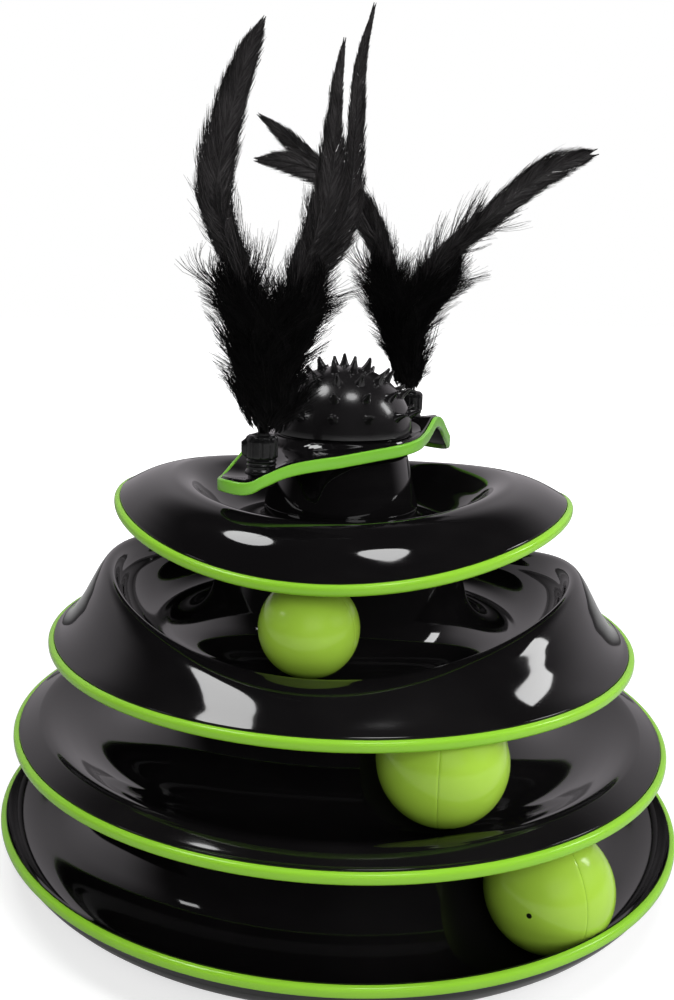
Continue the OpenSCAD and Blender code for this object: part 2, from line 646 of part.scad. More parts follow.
// Room that is cut into the plate's high side under the dome's edge
dome_clear = 0.25;
spigot_r = 3.2;
spigot_gap = 0.1;
spigot_h = 3;
flange_r = neck_r + flange_w;
socket_off = arm_tip_r - flange_r - flange_in;
function socket_uv(side) = [side > 0 ? rear_reach - rear_socket_in : front_socket_in - front_reach,
    socket_off * side];
function socket_xy(side) = let (p = socket_uv(side))
    [p[0] * cos(arm_turn) - p[1] * sin(arm_turn), p[0] * sin(arm_turn) + p[1] * cos(arm_turn)];
function socket_z(side) = let (p = socket_uv(side)) arm_wave_z(p[0], p[1]) + pad_rise;
module at_socket(side) {
    translate([socket_xy(side)[0], socket_xy(side)[1], socket_z(side)]) children();
}
module spinner_arm() {
    color(gloss_black)
        difference() {
            union() {
                skin([for (i = [0:arm_sides - 1]) arm_section(crowded(360 * i / arm_sides))],
                    turn = true);
                rotate_extrude($fn = 96)
                    polygon([[stem_r + run_gap, hub_z], [hub_r, hub_z], [hub_r, hub_z + hub_h],
                        [hub_r - hub_wall, hub_z + hub_h], [hub_r - hub_wall, hub_z + hub_floor],
                        [stem_r + run_gap + sleeve_w, hub_z + hub_floor],
                        [stem_r + run_gap + sleeve_w, hub_z + hub_h - sleeve_drop],
                        [stem_r + run_gap, hub_z + hub_h - sleeve_drop]]);
                for (side = [-1, 1])
                    at_socket(side)
                        translate([0, 0, -pad_depth])
                            cylinder(r = pad_top_r, h = pad_depth, $fn = 48);
            }
            translate([0, 0, collar_z - dome_clear])
                cylinder(r = dome_r + turn_gap, h = arm_wave, $fn = 96);
            for (side = [-1, 1])
                at_socket(side) {
                    cylinder(r = flange_r + spot_gap, h = neck_h, $fn = 48);
                    translate([0, 0, -spigot_h])
                        cylinder(r = spigot_r + spigot_gap, h = spigot_h + overrun, $fn = 48);
                }
        }
}

// Arm edge band in two lengths, which meet beside the waist
seam_turn = -45;
seam_gap = 0.2;
band_sit = 0.2;
band_steps = arm_sides / 2;
function arm_band_ring(turn) = let (
    inner = arm_edge(turn, band_sit),
    outer = arm_edge(turn, band_sit + arm_band_t),
    z = arm_top(turn, arm_edge(turn, 0)))
    [arm_point(turn, inner, z), arm_point(turn, outer, z),
    arm_point(turn, outer, z - arm_band_h), arm_point(turn, inner, z - arm_band_h)];
module arm_band(start) {
    color(lime)
        skin([for (i = [0:band_steps])
            let (inset = i == 0 ? seam_gap : i == band_steps ? -seam_gap : 0)
            arm_band_ring(crowded(start + 360 * i / arm_sides + inset))]);
}
module arm_band_rear() {
    arm_band(seam_turn);
}
module arm_band_front() {
    arm_band(seam_turn + 180);
}

// Sockets, clamp nuts and ferrules
flange_h = 1;
neck_ring = 0.4;
core_in = 0.9;
core_r = neck_r - core_in;
nut_r = neck_r + nut_out;
core_gap = 0.08;
core_short = 1.6;
bore_gap = 0.12;
bore_depth = 9;
nut_lift = 0.15;
nut_lip_gap = 0.5;
nut_lip_r = ferrule_r + nut_lip_gap;
nut_lip_h = 1.2;
nut_chamfer = 1;
lug_w = 3.4;
lug_d = 1.4;
lug_root = 0.7;
lug_h = 5;
flute_r = 0.5;
flute_count = 10;
ferrule_proud = 0.6;
// The neck's rings: [share of the neck's height, share of a ring's width]
neck_shares = [[0.2, 0], [0.4, 0], [0.5, 1], [0.6, 0], [0.72, 0], [0.84, 1], [0.96, 0], [1, 0]];
module socket(side) {
    core_top = flange_h + neck_h + nut_lift + nut_h - core_short;
    bore_r = ferrule_r + bore_gap;
    color(gloss_black)
        at_socket(side)
            rotate_extrude($fn = 48)
                polygon([[0, -spigot_h + spigot_gap], [spigot_r, -spigot_h + spigot_gap],
                    [spigot_r, 0], [flange_r, 0], [flange_r, flange_h],
                    for (s = neck_shares) [neck_r + neck_ring * s[1], flange_h + neck_h * s[0]],
                    [core_r, flange_h + neck_h],
                    [core_r, core_top], [bore_r, core_top], [bore_r, core_top - bore_depth],
                    [0, core_top - bore_depth]]);
}
module nut(side) {
    bottom = flange_h + neck_h + nut_lift;
    color(gloss_black)
        at_socket(side)
            translate([0, 0, bottom])
                difference() {
                    union() {
                        rotate_extrude($fn = 48)
                            polygon([[core_r + core_gap, 0], [nut_r, 0],
                                [nut_r, nut_h - nut_chamfer], [nut_r - nut_chamfer, nut_h],
                                [nut_lip_r, nut_h], [nut_lip_r, nut_h - nut_lip_h],
                                [core_r + core_gap, nut_h - nut_lip_h]]);
                        rotate([0, 0, 180])
                            translate([nut_r - lug_root, -lug_w / 2, nut_chamfer])
                                cube([lug_root + lug_d, lug_w, lug_h]);
                    }
                    for (i = [0:flute_count - 1])
                        rotate([0, 0, 360 * (i + 0.5) / flute_count])
                            translate([nut_r + flute_r / 2, 0, -overrun])
                                cylinder(r = flute_r, h = nut_h + 2 * overrun, $fn = 16);
                }
}
function plume_z(side) = socket_z(side) + flange_h + neck_h + nut_lift + nut_h + ferrule_proud;
module ferrule(side) {
    core_top = flange_h + neck_h + nut_lift + nut_h - core_short;
    bottom = core_top - bore_depth;
    color([0.08, 0.08, 0.08])
        at_socket(side)
            translate([0, 0, bottom])
                cylinder(r = ferrule_r, h = plume_z(side) - socket_z(side) - bottom, $fn = 32);
}

// Plumes: the path of each feather's shaft above its ferrule, as shares of the plume's height
feather_paths = [
    [[0, 0, 0], [-0.011, -0.001, 0.136], [-0.027, -0.003, 0.262], [-0.051, -0.007, 0.398],
        [-0.089, -0.012, 0.482], [-0.119, -0.019, 0.577], [-0.107, -0.027, 0.694],
        [-0.078, -0.037, 0.808], [-0.048, -0.049, 0.907], [-0.007, -0.062, 0.991]],
    [[0, 0, 0], [0.025, 0, 0.162], [0.063, 0.002, 0.313], [0.091, 0.003, 0.412],
        [0.129, 0.006, 0.503], [0.154, 0.009, 0.587], [0.169, 0.014, 0.683],
        [0.174, 0.019, 0.777], [0.179, 0.024, 0.87], [0.189, 0.031, 0.963]],
    [[0, 0, 0], [0.023, 0.001, 0.124], [0.049, 0.004, 0.23], [0.08, 0.009, 0.318],
        [0.121, 0.015, 0.412], [0.175, 0.024, 0.499], [0.21, 0.034, 0.596],
        [0.221, 0.047, 0.753], [0.23, 0.061, 0.907], [0.263, 0.077, 1.053]],
    [[0, 0, 0], [-0.019, -0.001, 0.136], [-0.005, -0.002, 0.254], [0.038, -0.005, 0.353],
        [0.087, -0.009, 0.421], [0.153, -0.014, 0.491], [0.24, -0.021, 0.575],
        [0.325, -0.028, 0.653], [0.416, -0.036, 0.714], [0.525, -0.046, 0.753]],
    [[0, 0, 0], [-0.015, 0, 0.12], [-0.041, 0.002, 0.235], [-0.077, 0.003, 0.361],
        [-0.117, 0.006, 0.455], [-0.166, 0.009, 0.541], [-0.233, 0.014, 0.618],
        [-0.311, 0.019, 0.68], [-0.396, 0.024, 0.759], [-0.488, 0.031, 0.828]],
    [[0, 0, 0], [-0.022, -0.001, 0.136], [-0.056, -0.003, 0.291], [-0.095, -0.007, 0.406],
        [-0.136, -0.012, 0.493], [-0.188, -0.019, 0.57], [-0.251, -0.027, 0.627],
        [-0.325, -0.037, 0.667], [-0.405, -0.049, 0.685], [-0.495, -0.062, 0.688]]];
quill_shares = [[-0.5, -0.3, 0], [0.1, 0.5, 0], [0.5, -0.3, 0]];
quill_fade = [1, 0.5, 0.15];
// Width of each vane along its shaft, as shares of the vane's width
vane_shares = [[0.09, 0.1, 0.15, 0.5, 0.7, 0.82, 0.95, 0.72, 0.48, 0.06],
    [0.09, 0.1, 0.15, 0.5, 0.9, 0.75, 0.58, 0.33, 0.24, 0.05],
    [0.09, 0.1, 0.15, 0.3, 0.7, 0.8, 0.6, 0.47, 0.25, 0.05],
    [0.09, 0.1, 0.2, 0.55, 0.62, 0.58, 0.55, 0.8, 0.88, 0.25],
    [0.09, 0.1, 0.2, 0.5, 0.6, 0.5, 0.45, 0.38, 0.4, 0.05],
    [0.09, 0.1, 0.3, 0.6, 0.8, 0.82, 0.76, 0.66, 0.32, 0.05]];
function unit(v) = v / norm(v);
function shaft_point(base, k, i) = base + feather_paths[k][i] * plume_h
    + (i < len(quill_fade) ? quill_shares[k % 3] * ferrule_r * quill_fade[i] : [0, 0, 0]);
function vane_ring(base, k, i) = let (
    n = len(feather_paths[k]) - 1,
    c = shaft_point(base, k, i),
    d = i > 0 ? unit(shaft_point(base, k, min(i + 1, n)) - shaft_point(base, k, i - 1)) : [0, 0, 1],
    across = unit(cross([0, 1, 0], d)) * vane_w * vane_shares[k][i] / 2,
    out = cross(d, unit(across)) * vane_t / 2)
    [c + across, c + out, c - across, c - out];
module feather(base, k) {
    color([0.09, 0.09, 0.09])
        skin([for (i = [0:len(feather_paths[k]) - 1]) vane_ring(base, k, i)]);
}
// A tuft of down as one soft outline: [share of its height, offset and half width as shares
// of the tuft's half width]
front_tuft_shares = [[0, 0, 0.16], [0.02, 0.1, 0.42], [0.16, 0.06, 0.58], [0.34, 0.02, 0.65],
    [0.53, 0.06, 0.8], [0.71, 0.05, 1], [0.81, 0, 0.97], [0.9, 0.03, 0.64], [1, 0, 0.16]];
rear_tuft_shares = [[0, 0, 0.16], [0.04, -0.03, 0.28], [0.2, -0.15, 0.29], [0.47, -0.17, 0.53],
    [0.65, -0.19, 1], [0.84, -0.19, 0.94], [0.94, -0.15, 0.6], [1, -0.16, 0.16]];
tuft_sides = 12;
tuft_depth_share = 0.75;
module tuft(base, shares) {
    color([0.07, 0.07, 0.07])
        skin([for (s = shares) [for (j = [0:tuft_sides - 1]) let (a = 360 * j / tuft_sides)
            base + [tuft_r * (s[1] + s[2] * cos(a)), -tuft_depth_share * tuft_r * s[2] * sin(a),
                tuft_h * s[0]]]]);
}
front_base = [socket_xy(-1)[0], socket_xy(-1)[1], plume_z(-1)];
rear_base = [socket_xy(1)[0], socket_xy(1)[1], plume_z(1)];

// Balls: two half shells about an upright seam
base_ball_turn = -51.6;
middle_ball_turn = -71;
upper_ball_turn = -101.9;
base_seam_turn = 20;
middle_seam_turn = -12;
upper_seam_turn = 60;
// Each ball's vent hole: the half it is in, its turn from that half's pole and its tilt down
base_vent = [-1, 40, -3];
middle_vent = [1, 0, 30];
upper_vent = [1, 0, 30];
module half_ball(track, floor_z, r, at, seam, side, vent) {
    color(lime)
        rotate([0, 0, at])
            translate([track, 0, floor_z + ball_lift + r])
                rotate([0, 0, seam + (side > 0 ? 0 : 180) - at])
                    difference() {
                        sphere(r = r, $fn = 64);
                        sphere(r = r - ball_wall, $fn = 64);
                        translate([-r - overrun, -r - overrun, -r - overrun])
                            cube([r + overrun, 2 * (r + overrun), 2 * (r + overrun)]);
                        if (side == vent[0])
                            rotate([0, 90 + vent[2], vent[1]])
                                cylinder(r = vent_r, h = r + overrun, $fn = 16);
                    }
}

base_tray();
base_band();
middle_tray();
middle_band();
upper_tray();
upper_band();
top_dish();
dish_band();
pedestal();
dome_collar();
spiked_dome();
dome_screw();
screw_washer();
slip_washer();
rubber_feet();
spinner_arm();
arm_band_front();
arm_band_rear();
socket(-1);  // front_socket
socket(1);  // rear_socket
nut(-1);  // front_nut
nut(1);  // rear_nut
ferrule(-1);  // front_ferrule
ferrule(1);  // rear_ferrule
tuft(front_base, front_tuft_shares);  // front_tuft
tuft(rear_base, rear_tuft_shares);  // rear_tuft
feather(front_base, 0);  // front_feather_1
feather(front_base, 1);  // front_feather_2
feather(front_base, 2);  // front_feather_3
feather(rear_base, 3);  // rear_feather_1
feather(rear_base, 4);  // rear_feather_2
feather(rear_base, 5);  // rear_feather_3
half_ball(base_track_r, base_floor, ball_r, base_ball_turn, base_seam_turn, -1, base_vent);  // base_ball_left
half_ball(base_track_r, base_floor, ball_r, base_ball_turn, base_seam_turn, 1, base_vent);  // base_ball_right
half_ball(middle_track_r, middle_floor, ball_r, middle_ball_turn, middle_seam_turn, -1, middle_vent);  // middle_ball_left
half_ball(middle_track_r, middle_floor, ball_r, middle_ball_turn, middle_seam_turn, 1, middle_vent);  // middle_ball_right
half_ball(upper_track_r, upper_floor, small_ball_r, upper_ball_turn, upper_seam_turn, -1, upper_vent);  // upper_ball_left
half_ball(upper_track_r, upper_floor, small_ball_r, upper_ball_turn, upper_seam_turn, 1, upper_vent);  // upper_ball_right
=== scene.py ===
"""Look of a cat ball track toy: four glossy trays with lime bands, balls, a spiked dome and feathers.

Shapes are worked out in millimetres in the shared frame, and go into the meshes in metres.
"""
import bmesh
import bpy
import mathutils
import numpy as np
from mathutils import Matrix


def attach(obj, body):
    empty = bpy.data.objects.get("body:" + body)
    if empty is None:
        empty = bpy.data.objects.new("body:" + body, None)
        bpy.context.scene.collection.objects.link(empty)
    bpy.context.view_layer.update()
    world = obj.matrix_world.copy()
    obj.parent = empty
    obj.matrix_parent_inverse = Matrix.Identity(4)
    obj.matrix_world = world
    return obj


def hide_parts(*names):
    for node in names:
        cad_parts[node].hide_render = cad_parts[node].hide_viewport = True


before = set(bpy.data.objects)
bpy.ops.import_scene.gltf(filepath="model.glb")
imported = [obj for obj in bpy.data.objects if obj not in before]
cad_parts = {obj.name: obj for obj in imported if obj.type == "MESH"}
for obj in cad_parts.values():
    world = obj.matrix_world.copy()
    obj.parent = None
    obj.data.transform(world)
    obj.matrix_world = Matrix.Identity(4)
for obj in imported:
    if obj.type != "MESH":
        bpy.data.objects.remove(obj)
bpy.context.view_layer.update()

MM = 0.001

# Sizes of the trays, in millimetres
WALL = 2.2
BASE_FLOOR, MIDDLE_FLOOR, UPPER_FLOOR, DISH_FLOOR = 4.6, 49.6, 90.5, 130.0
MIDDLE_SEAT, UPPER_SEAT, DISH_SEAT = 47.4, 88.3, 127.8
BALL_R, SMALL_BALL_R, BALL_WALL, BALL_ROOM, VENT_R = 21.2, 16.9, 1.4, 0.3, 0.9
TROUGH_R, UPPER_TROUGH_R = 21.8, 17.5
BAND_H, BAND_D, BAND_ROUND, BAND_CORNER = 3.8, 2.1, 1.7, 0.3
LIP_RISE, EDGE_GAP = 0.4, 0.1
TONGUE_H, TONGUE_REACH, TONGUE_SEAT = 1.4, 1.0, 1.2
SHOULDER, LEDGE_W, LOCATOR_W, LOCATOR_H, LOCATOR_GAP = 2.6, 9.0, 2.2, 4.0, 0.3
FOOT_RING_W, TRAY_CORNER, LIP_CORNER = 2.5, 0.5, 0.35
FOOT_H, FOOT_LAND, LAND_BLEND = 2.4, 5.0, 1.4
BASE_RIM_R, BASE_LOW = 129.935, 17.0
MIDDLE_RIM_R, MIDDLE_LOW, MIDDLE_TRACK = 124.264, 49.7, 89.564
MIDDLE_CREST = (114.064, 56.9)
UPPER_RIM_R, UPPER_LOW, UPPER_TRACK = 110.6, 84.3, 65.4
UPPER_CREST_R, UPPER_CREST_LOW, UPPER_CREST_HIGH, UPPER_WALL_W = 87.6, 7.7, 24.0, 4.7
DISH_RIM_R, DISH_MEAN_LOW, DISH_RIM_WAVE = 85.4, 130.9, 6.7
DISH_CREST_R, DISH_CREST_RISE, DISH_CREST_WAVE = 61.6, 15.3, 2.7
DISH_FLAT_W, BOSS_CORNER = 7.4, 0.3
WAVE_TURN = -10.0
HUB_SLOPE, UPPER_HUB_SLOPE = 70.0, 75.0

# Sizes of the pedestal, dome and arm
BOSS_TOP, PEDESTAL_FOOT_R, PEDESTAL_TOP_R, PEDESTAL_TOP = 136.3, 29.0, 24.5, 155.9
SKIRT_GAP, SKIRT_W, SKIRT_H = 0.1, 2.0, 3.6
PEDESTAL_FOOT_W, PEDESTAL_FOOT_H, PEDESTAL_PLATE, PEDESTAL_WALL = 0.55, 2.6, 2.4, 3.2
TUBE_R, TUBE_L, TUBE_BORE = 6.0, 12.0, 1.8
STEM_R, STEM_BORE, STEM_GAP, SLEEVE_W, SLEEVE_SHORT = 8.0, 1.55, 0.05, 2.4, 0.1
HUB_Z, HUB_R, HUB_H, HUB_WALL, HUB_FLOOR = 156.7, 24.9, 6.8, 2.2, 2.4
COLLAR_Z, COLLAR_R, COLLAR_H = 163.8, 23.4, 2.4
DOME_R, DOME_H, DOME_WALL = 26.0, 24.6, 2.6
ARM_TURN = 52.0
FRONT_REACH, REAR_REACH, ARM_TIP_R, ARM_WAIST_R = 64.6, 70.0, 9.4, 29.5
ARM_THICK, ARM_WAVE, ARM_DROOP = 3.2, 17.0, 4.7
ARM_BAND_H, ARM_BAND_T, BAND_SIT, BAND_DROP, SEAM_TURN, SEAM_GAP = 5.0, 1.3, 0.2, 0.75, -45.0, 0.2
PLATE_DROP, LEVEL_PAST, LEVEL_EASE, CROWDING = 0.3, 0.3, 3.6, 21.0
SOCKET_AT, SOCKET_OFF, PAD_RISE, PAD_R, PAD_DEPTH, PAD_HOLE = 53.0, 3.4, 0.5, 4.6, 4.0, 3.3
SPIGOT_R, SPIGOT_H, BORE_GAP, THREAD_GAP = 3.2, 2.9, 0.12, 0.08
NECK_H, NECK_R, NECK_RING, FLANGE_R, FLANGE_H = 4.3, 4.8, 0.4, 5.6, 1.0
NUT_R, NUT_H, NUT_LIFT, CORE_R, CORE_SHORT, BORE_DEPTH = 5.5, 7.8, 0.15, 3.9, 1.6, 9.0
FERRULE_R, FERRULE_PROUD = 2.6, 0.6
PLUME_H = 130.0

# The turns at which a tray's section is worked out, and the crests' wave at them
ROUND = 288
TURNS = np.arange(ROUND) * 2 * np.pi / ROUND
WAVE = np.cos(2 * (TURNS - np.radians(WAVE_TURN)))


# Meshes

def grid_faces(rows, cols, closed_rows=True, closed_cols=True):
    """Four-sided faces between neighbouring points of a rows x cols grid."""
    i = np.arange(rows if closed_rows else rows - 1)[:, None]
    j = np.arange(cols if closed_cols else cols - 1)[None, :]
    near, far = i * cols, (i + 1) % rows * cols
    k = (j + 1) % cols
    return np.stack(np.broadcast_arrays(near + j, far + j, far + k, near + k), -1).reshape(-1, 4)


def outward(points, faces):
    """The faces, turned round where the volume that they enclose comes out negative."""
    a, b, c = points[faces[:, 0]], points[faces[:, 1]], points[faces[:, 2]]
    d = points[faces[:, -1]]
    volume = np.sum(a * np.cross(b, c)) + np.sum(a * np.cross(c, d))
    return faces if volume > 0 else faces[:, ::-1]


def capped(points):
    """Faces of a strip of closed rings, and of the two rings that end it."""
    rows, cols = points.shape[:2]
    strip = grid_faces(rows, cols, closed_rows=False)
    sides = outward(points.reshape(-1, 3), strip)
    near = np.arange(cols)[None]
    if sides is strip:
        near = near[:, ::-1]
    return [sides, near, near[:, ::-1] + (rows - 1) * cols]


def piece(name, shells, finish, body, nodes=(), sharp=40.0, weld=False, tones=None):
    """One object from closed shells, each a pair of points in millimetres and faces."""
    points, faces, start = [], [], 0
    for shell_points, shell_faces in shells:
        shell_points = np.asarray(shell_points, float).reshape(-1, 3)
        groups = shell_faces if isinstance(shell_faces, list) else [outward(shell_points, shell_faces)]
        points.append(shell_points)
        faces.extend((group + start).tolist() for group in groups)
        start += len(shell_points)
    mesh = bpy.data.meshes.new(name)
    mesh.from_pydata(np.concatenate(points) * MM, [], [face for group in faces for face in group])
    if weld:
        close_poles(mesh)
    if tones is not None:
        mesh.attributes.new("tone", "FLOAT", "POINT").data.foreach_set("value", tones)
    mesh.validate()
    mesh.shade_smooth()
    if sharp:
        mesh.set_sharp_from_angle(angle=np.radians(sharp))
    mesh.materials.append(finish)
    shape = bpy.data.objects.new(name, mesh)
    bpy.context.scene.collection.objects.link(shape)
    if nodes:
        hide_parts(*nodes)
    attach(shape, body)


def close_poles(mesh):
    """Merges the points of the mesh's poles into one."""
    work = bmesh.new()
    work.from_mesh(mesh)
    bmesh.ops.remove_doubles(work, verts=work.verts, dist=1e-7)
    bmesh.ops.dissolve_degenerate(work, edges=work.edges, dist=1e-7)
    work.to_mesh(mesh)
    work.free()


def upright(r, turn, z):
    """Points from their radii, turns and heights about an upright axis."""
    return np.stack(np.broadcast_arrays(r * np.cos(turn), r * np.sin(turn), z), -1)


# Lines and sections: arrays of [turn, point, (radius, height)]

def at(radius, height):
    """One point of a section at every turn."""
    r, z, _ = np.broadcast_arrays(radius, height, TURNS)
    return np.stack([r, z], -1)[:, None, :].astype(float)


def same(line):
    """A line of (radius, height) points that is the same at every turn."""
    return np.broadcast_to(np.asarray(line, float), (ROUND,) + np.shape(line))


def joined(*lines):
    """Sections one after the other."""
    return np.concatenate(lines, axis=1)


def blend(a, b, share):
    """From a at share 0 to b at share 1."""
    return a + (b - a) * share


def run(start, end, shares):
    """Points between two section points at [share outwards, share of the rise]."""
    return joined(*[start + (end - start) * np.asarray(s) for s in shares])


def smooth(points, per):
    """A cubic through the points, with the mean of the neighbouring steps as its direction."""
    first = 2 * points[..., :1, :] - points[..., 1:2, :]
    last = 2 * points[..., -1:, :] - points[..., -2:-1, :]
    p = np.concatenate([first, points, last], axis=-2)
    t = (np.arange(per) / per)[:, None]
    a, b, c, d = (p[..., i:i + points.shape[-2] - 1, None, :] for i in range(4))
    curve = (b + t * (c - a) / 2 + t ** 2 * (a - 2.5 * b + 2 * c - d / 2)
             + t ** 3 * (d - a + 3 * (b - c)) / 2)
    curve = curve.reshape(points.shape[:-2] + (-1, points.shape[-1]))
    return np.concatenate([curve, points[..., -1:, :]], axis=-2)


def shifted(line, distance):
    """A line moved square to itself, to its right-hand side."""
    step = np.gradient(line, axis=1)
    side = np.stack([step[..., 1], -step[..., 0]], -1)
    return line + distance * side / np.linalg.norm(side, axis=-1, keepdims=True)


def rounded(section, corners, steps=5):
    """The section with each numbered corner replaced by a curve that starts and ends at its reach."""
    count = section.shape[1]
    t = np.linspace(0, 1, steps + 1)[:, None]
    parts = []
    for i in range(count):
        corner = section[:, i:i + 1]
        if i in corners:
            back = section[:, (i - 1) % count][:, None] - corner
            on = section[:, (i + 1) % count][:, None] - corner
            start = corner + corners[i] * back / np.linalg.norm(back, axis=-1, keepdims=True)
            end = corner + corners[i] * on / np.linalg.norm(on, axis=-1, keepdims=True)
            corner = (1 - t) ** 2 * start + 2 * t * (1 - t) * corner + t ** 2 * end
        parts.append(corner)
    return joined(*parts)


def carried(section):
    """A closed section carried round the tower's axis: x and y from the radius and the turn."""
    r, z = section[..., 0], section[..., 1]
    return upright(r, TURNS[:, None], z), grid_faces(*r.shape)


def lathe(line, count=96, centre=(0, 0, 0), closed=True):
    """A line of (radius, height) points turned round an upright axis through the centre."""
    line = np.asarray(line, float)
    points = upright(line[:, 0], np.arange(count)[:, None] * 2 * np.pi / count, line[:, 1])
    return points + np.asarray(centre, float), grid_faces(count, len(line), closed_cols=closed)


def eased_line(line, corners):
    """A single (radius, height) line with its numbered corners rounded."""
    return rounded(np.asarray(line, float)[None], corners)[0]


# Trays

def trough(track, floor_z, r, grown, start, end, steps):
    """A circle about the trough's centre: 0 degrees is its floor, below 0 is towards the hub."""
    turn = np.radians(np.linspace(start, end, steps + 1))
    line = [track + (r + grown) * np.sin(turn), floor_z + r - (r + grown) * np.cos(turn)]
    return same(np.stack(line, -1))


def trough_angle(track, r, radius):
    """The angle at which the trough's underside passes a radius."""
    return np.degrees(np.arcsin((radius - track) / (r + WALL)))


def hub_radii(track, floor_z, r, slope, seat):
    """Radii of the hub's shoulder and of the ledge above it."""
    turn = np.radians(slope)
    foot = (track - r * np.sin(turn), floor_z + r - r * np.cos(turn))
    shoulder = foot[0] - (seat - SHOULDER - foot[1]) / np.tan(turn)
    return shoulder, shoulder - SHOULDER * (1 - np.sin(turn) / 2)


def hub_top(track, floor_z, r, slope, seat, locator):
    """From the locating ring over the ledge and its rounded shoulder."""
    shoulder, ledge = hub_radii(track, floor_z, r, slope, seat)
    t = np.linspace(0, 1, 9)[:, None]
    bend = ((1 - t) ** 2 * [ledge, seat] + 2 * t * (1 - t) * [blend(ledge, shoulder, 0.72), seat]
            + t ** 2 * [shoulder, seat - SHOULDER])
    return same(np.concatenate([[[locator - LOCATOR_W, seat + LOCATOR_H], [locator, seat + LOCATOR_H],
                                 [locator, seat]], bend]))


def hub_under(track, floor_z, r, slope, seat, locator):
    """The underside of the hub's top."""
    shoulder, ledge = hub_radii(track, floor_z, r, slope, seat)
    turn = np.radians(slope)
    return same([[shoulder - WALL * np.sin(turn), seat - SHOULDER - WALL * np.cos(turn) / 2],
                 [ledge - WALL / 2, seat - WALL], [locator - LOCATOR_W, seat - WALL]])


def under_trough(track, floor_z, r, slope, ring):
    """The underside of a trough's inner half, with the ring that stands on the tray below."""
    seat = floor_z - WALL
    return joined(
        trough(track, floor_z, r, WALL, 0, trough_angle(track, r, ring), 6),
        same([[ring, seat], [ring - FOOT_RING_W, seat]]),
        trough(track, floor_z, r, WALL, trough_angle(track, r, ring - FOOT_RING_W), -slope, 8))


def tray_edge(rim, low):
    """A tray's end face, from its lip down past the tongue that the band grips."""
    face, tip = rim - BAND_D - EDGE_GAP, rim - TONGUE_REACH - EDGE_GAP
    return joined(at(face, low + TONGUE_SEAT + TONGUE_H), at(tip, low + TONGUE_SEAT + TONGUE_H),
                  at(tip, low + TONGUE_SEAT), at(face, low + TONGUE_SEAT))


def lip_point(rim, low):
    """The outer end of a tray's upper face, just above its band."""
    return at(rim - BAND_D - EDGE_GAP, low + BAND_H + LIP_RISE)


def tray_section(hub, steps, ring, rim, low, locator, outer, under):
    """A tray's closed section: hub, trough, outer side and edge, and their undersides back again.

    The hub is given by its track, floor, trough radius, slope and seat, which the trough shares.
    """
    track, floor_z, r, slope, _ = hub
    top = joined(hub_top(*hub, locator), trough(track, floor_z, r, 0, -slope, 0, steps)[:, :-1], outer)
    section = joined(top, tray_edge(rim, low), under, under_trough(track, floor_z, r, slope, ring)[:, 1:],
                     hub_under(*hub, locator))
    return rounded(section, {0: TRAY_CORNER, 1: TRAY_CORNER, top.shape[1] - 1: LIP_CORNER})


def locator_radius(hub):
    """Outer radius of the ring on a hub's ledge, which centres the tray above."""
    return hub_radii(*hub)[1] - LEDGE_W + LOCATOR_W


def base_tray():
    """A round trough about the hub, with a flat land under it for the feet."""
    edge_r = BASE_RIM_R - BAND_D - EDGE_GAP
    edge_z = BASE_LOW + BAND_H + LIP_RISE
    wall_turn = np.degrees(np.arccos(1 - (edge_z - BASE_FLOOR) / TROUGH_R))
    track = edge_r - TROUGH_R * np.sin(np.radians(wall_turn))
    land = LAND_BLEND * np.degrees(np.arcsin(FOOT_LAND / (TROUGH_R + WALL)))
    hub = (track, BASE_FLOOR, TROUGH_R, HUB_SLOPE, MIDDLE_SEAT)
    locator = locator_radius(hub)
    top = joined(hub_top(*hub, locator), trough(*hub[:3], 0, -HUB_SLOPE, wall_turn, 44))
    under = joined(
        trough(*hub[:3], WALL, trough_angle(track, TROUGH_R, edge_r), land, 8),
        same([[track + FOOT_LAND, FOOT_H], [track - FOOT_LAND, FOOT_H]]),
        trough(*hub[:3], WALL, -land, -HUB_SLOPE, 8))
    section = joined(top, tray_edge(BASE_RIM_R, BASE_LOW), under, hub_under(*hub, locator))
    corners = {0: TRAY_CORNER, 1: TRAY_CORNER, top.shape[1] - 1: LIP_CORNER}
    return rounded(section, corners), track, locator


def middle_tray(base_locator):
    """A trough whose outer side rises to a low crest and falls to the rim."""
    hub = (MIDDLE_TRACK, MIDDLE_FLOOR, TROUGH_R, HUB_SLOPE, UPPER_SEAT)
    locator = locator_radius(hub)
    crest_shares = [[0, 0], [0.16, 0.03], [0.34, 0.17], [0.54, 0.44], [0.73, 0.74], [0.88, 0.94]]
    lip_shares = [[0, 0], [0.18, 0.12], [0.42, 0.37], [0.66, 0.64], [0.86, 0.87], [1, 1]]
    crest = at(*MIDDLE_CREST)
    outer = smooth(joined(run(at(MIDDLE_TRACK, MIDDLE_FLOOR), crest, crest_shares),
                          run(crest, lip_point(MIDDLE_RIM_R, MIDDLE_LOW), lip_shares)), 5)
    under = shifted(outer, WALL)[:, ::-5]
    under = under[:, under[0, :, 0] < MIDDLE_RIM_R - BAND_D - WALL / 2]
    return tray_section(hub, 28, base_locator + LOCATOR_GAP + FOOT_RING_W, MIDDLE_RIM_R, MIDDLE_LOW,
                        locator, outer, under), locator


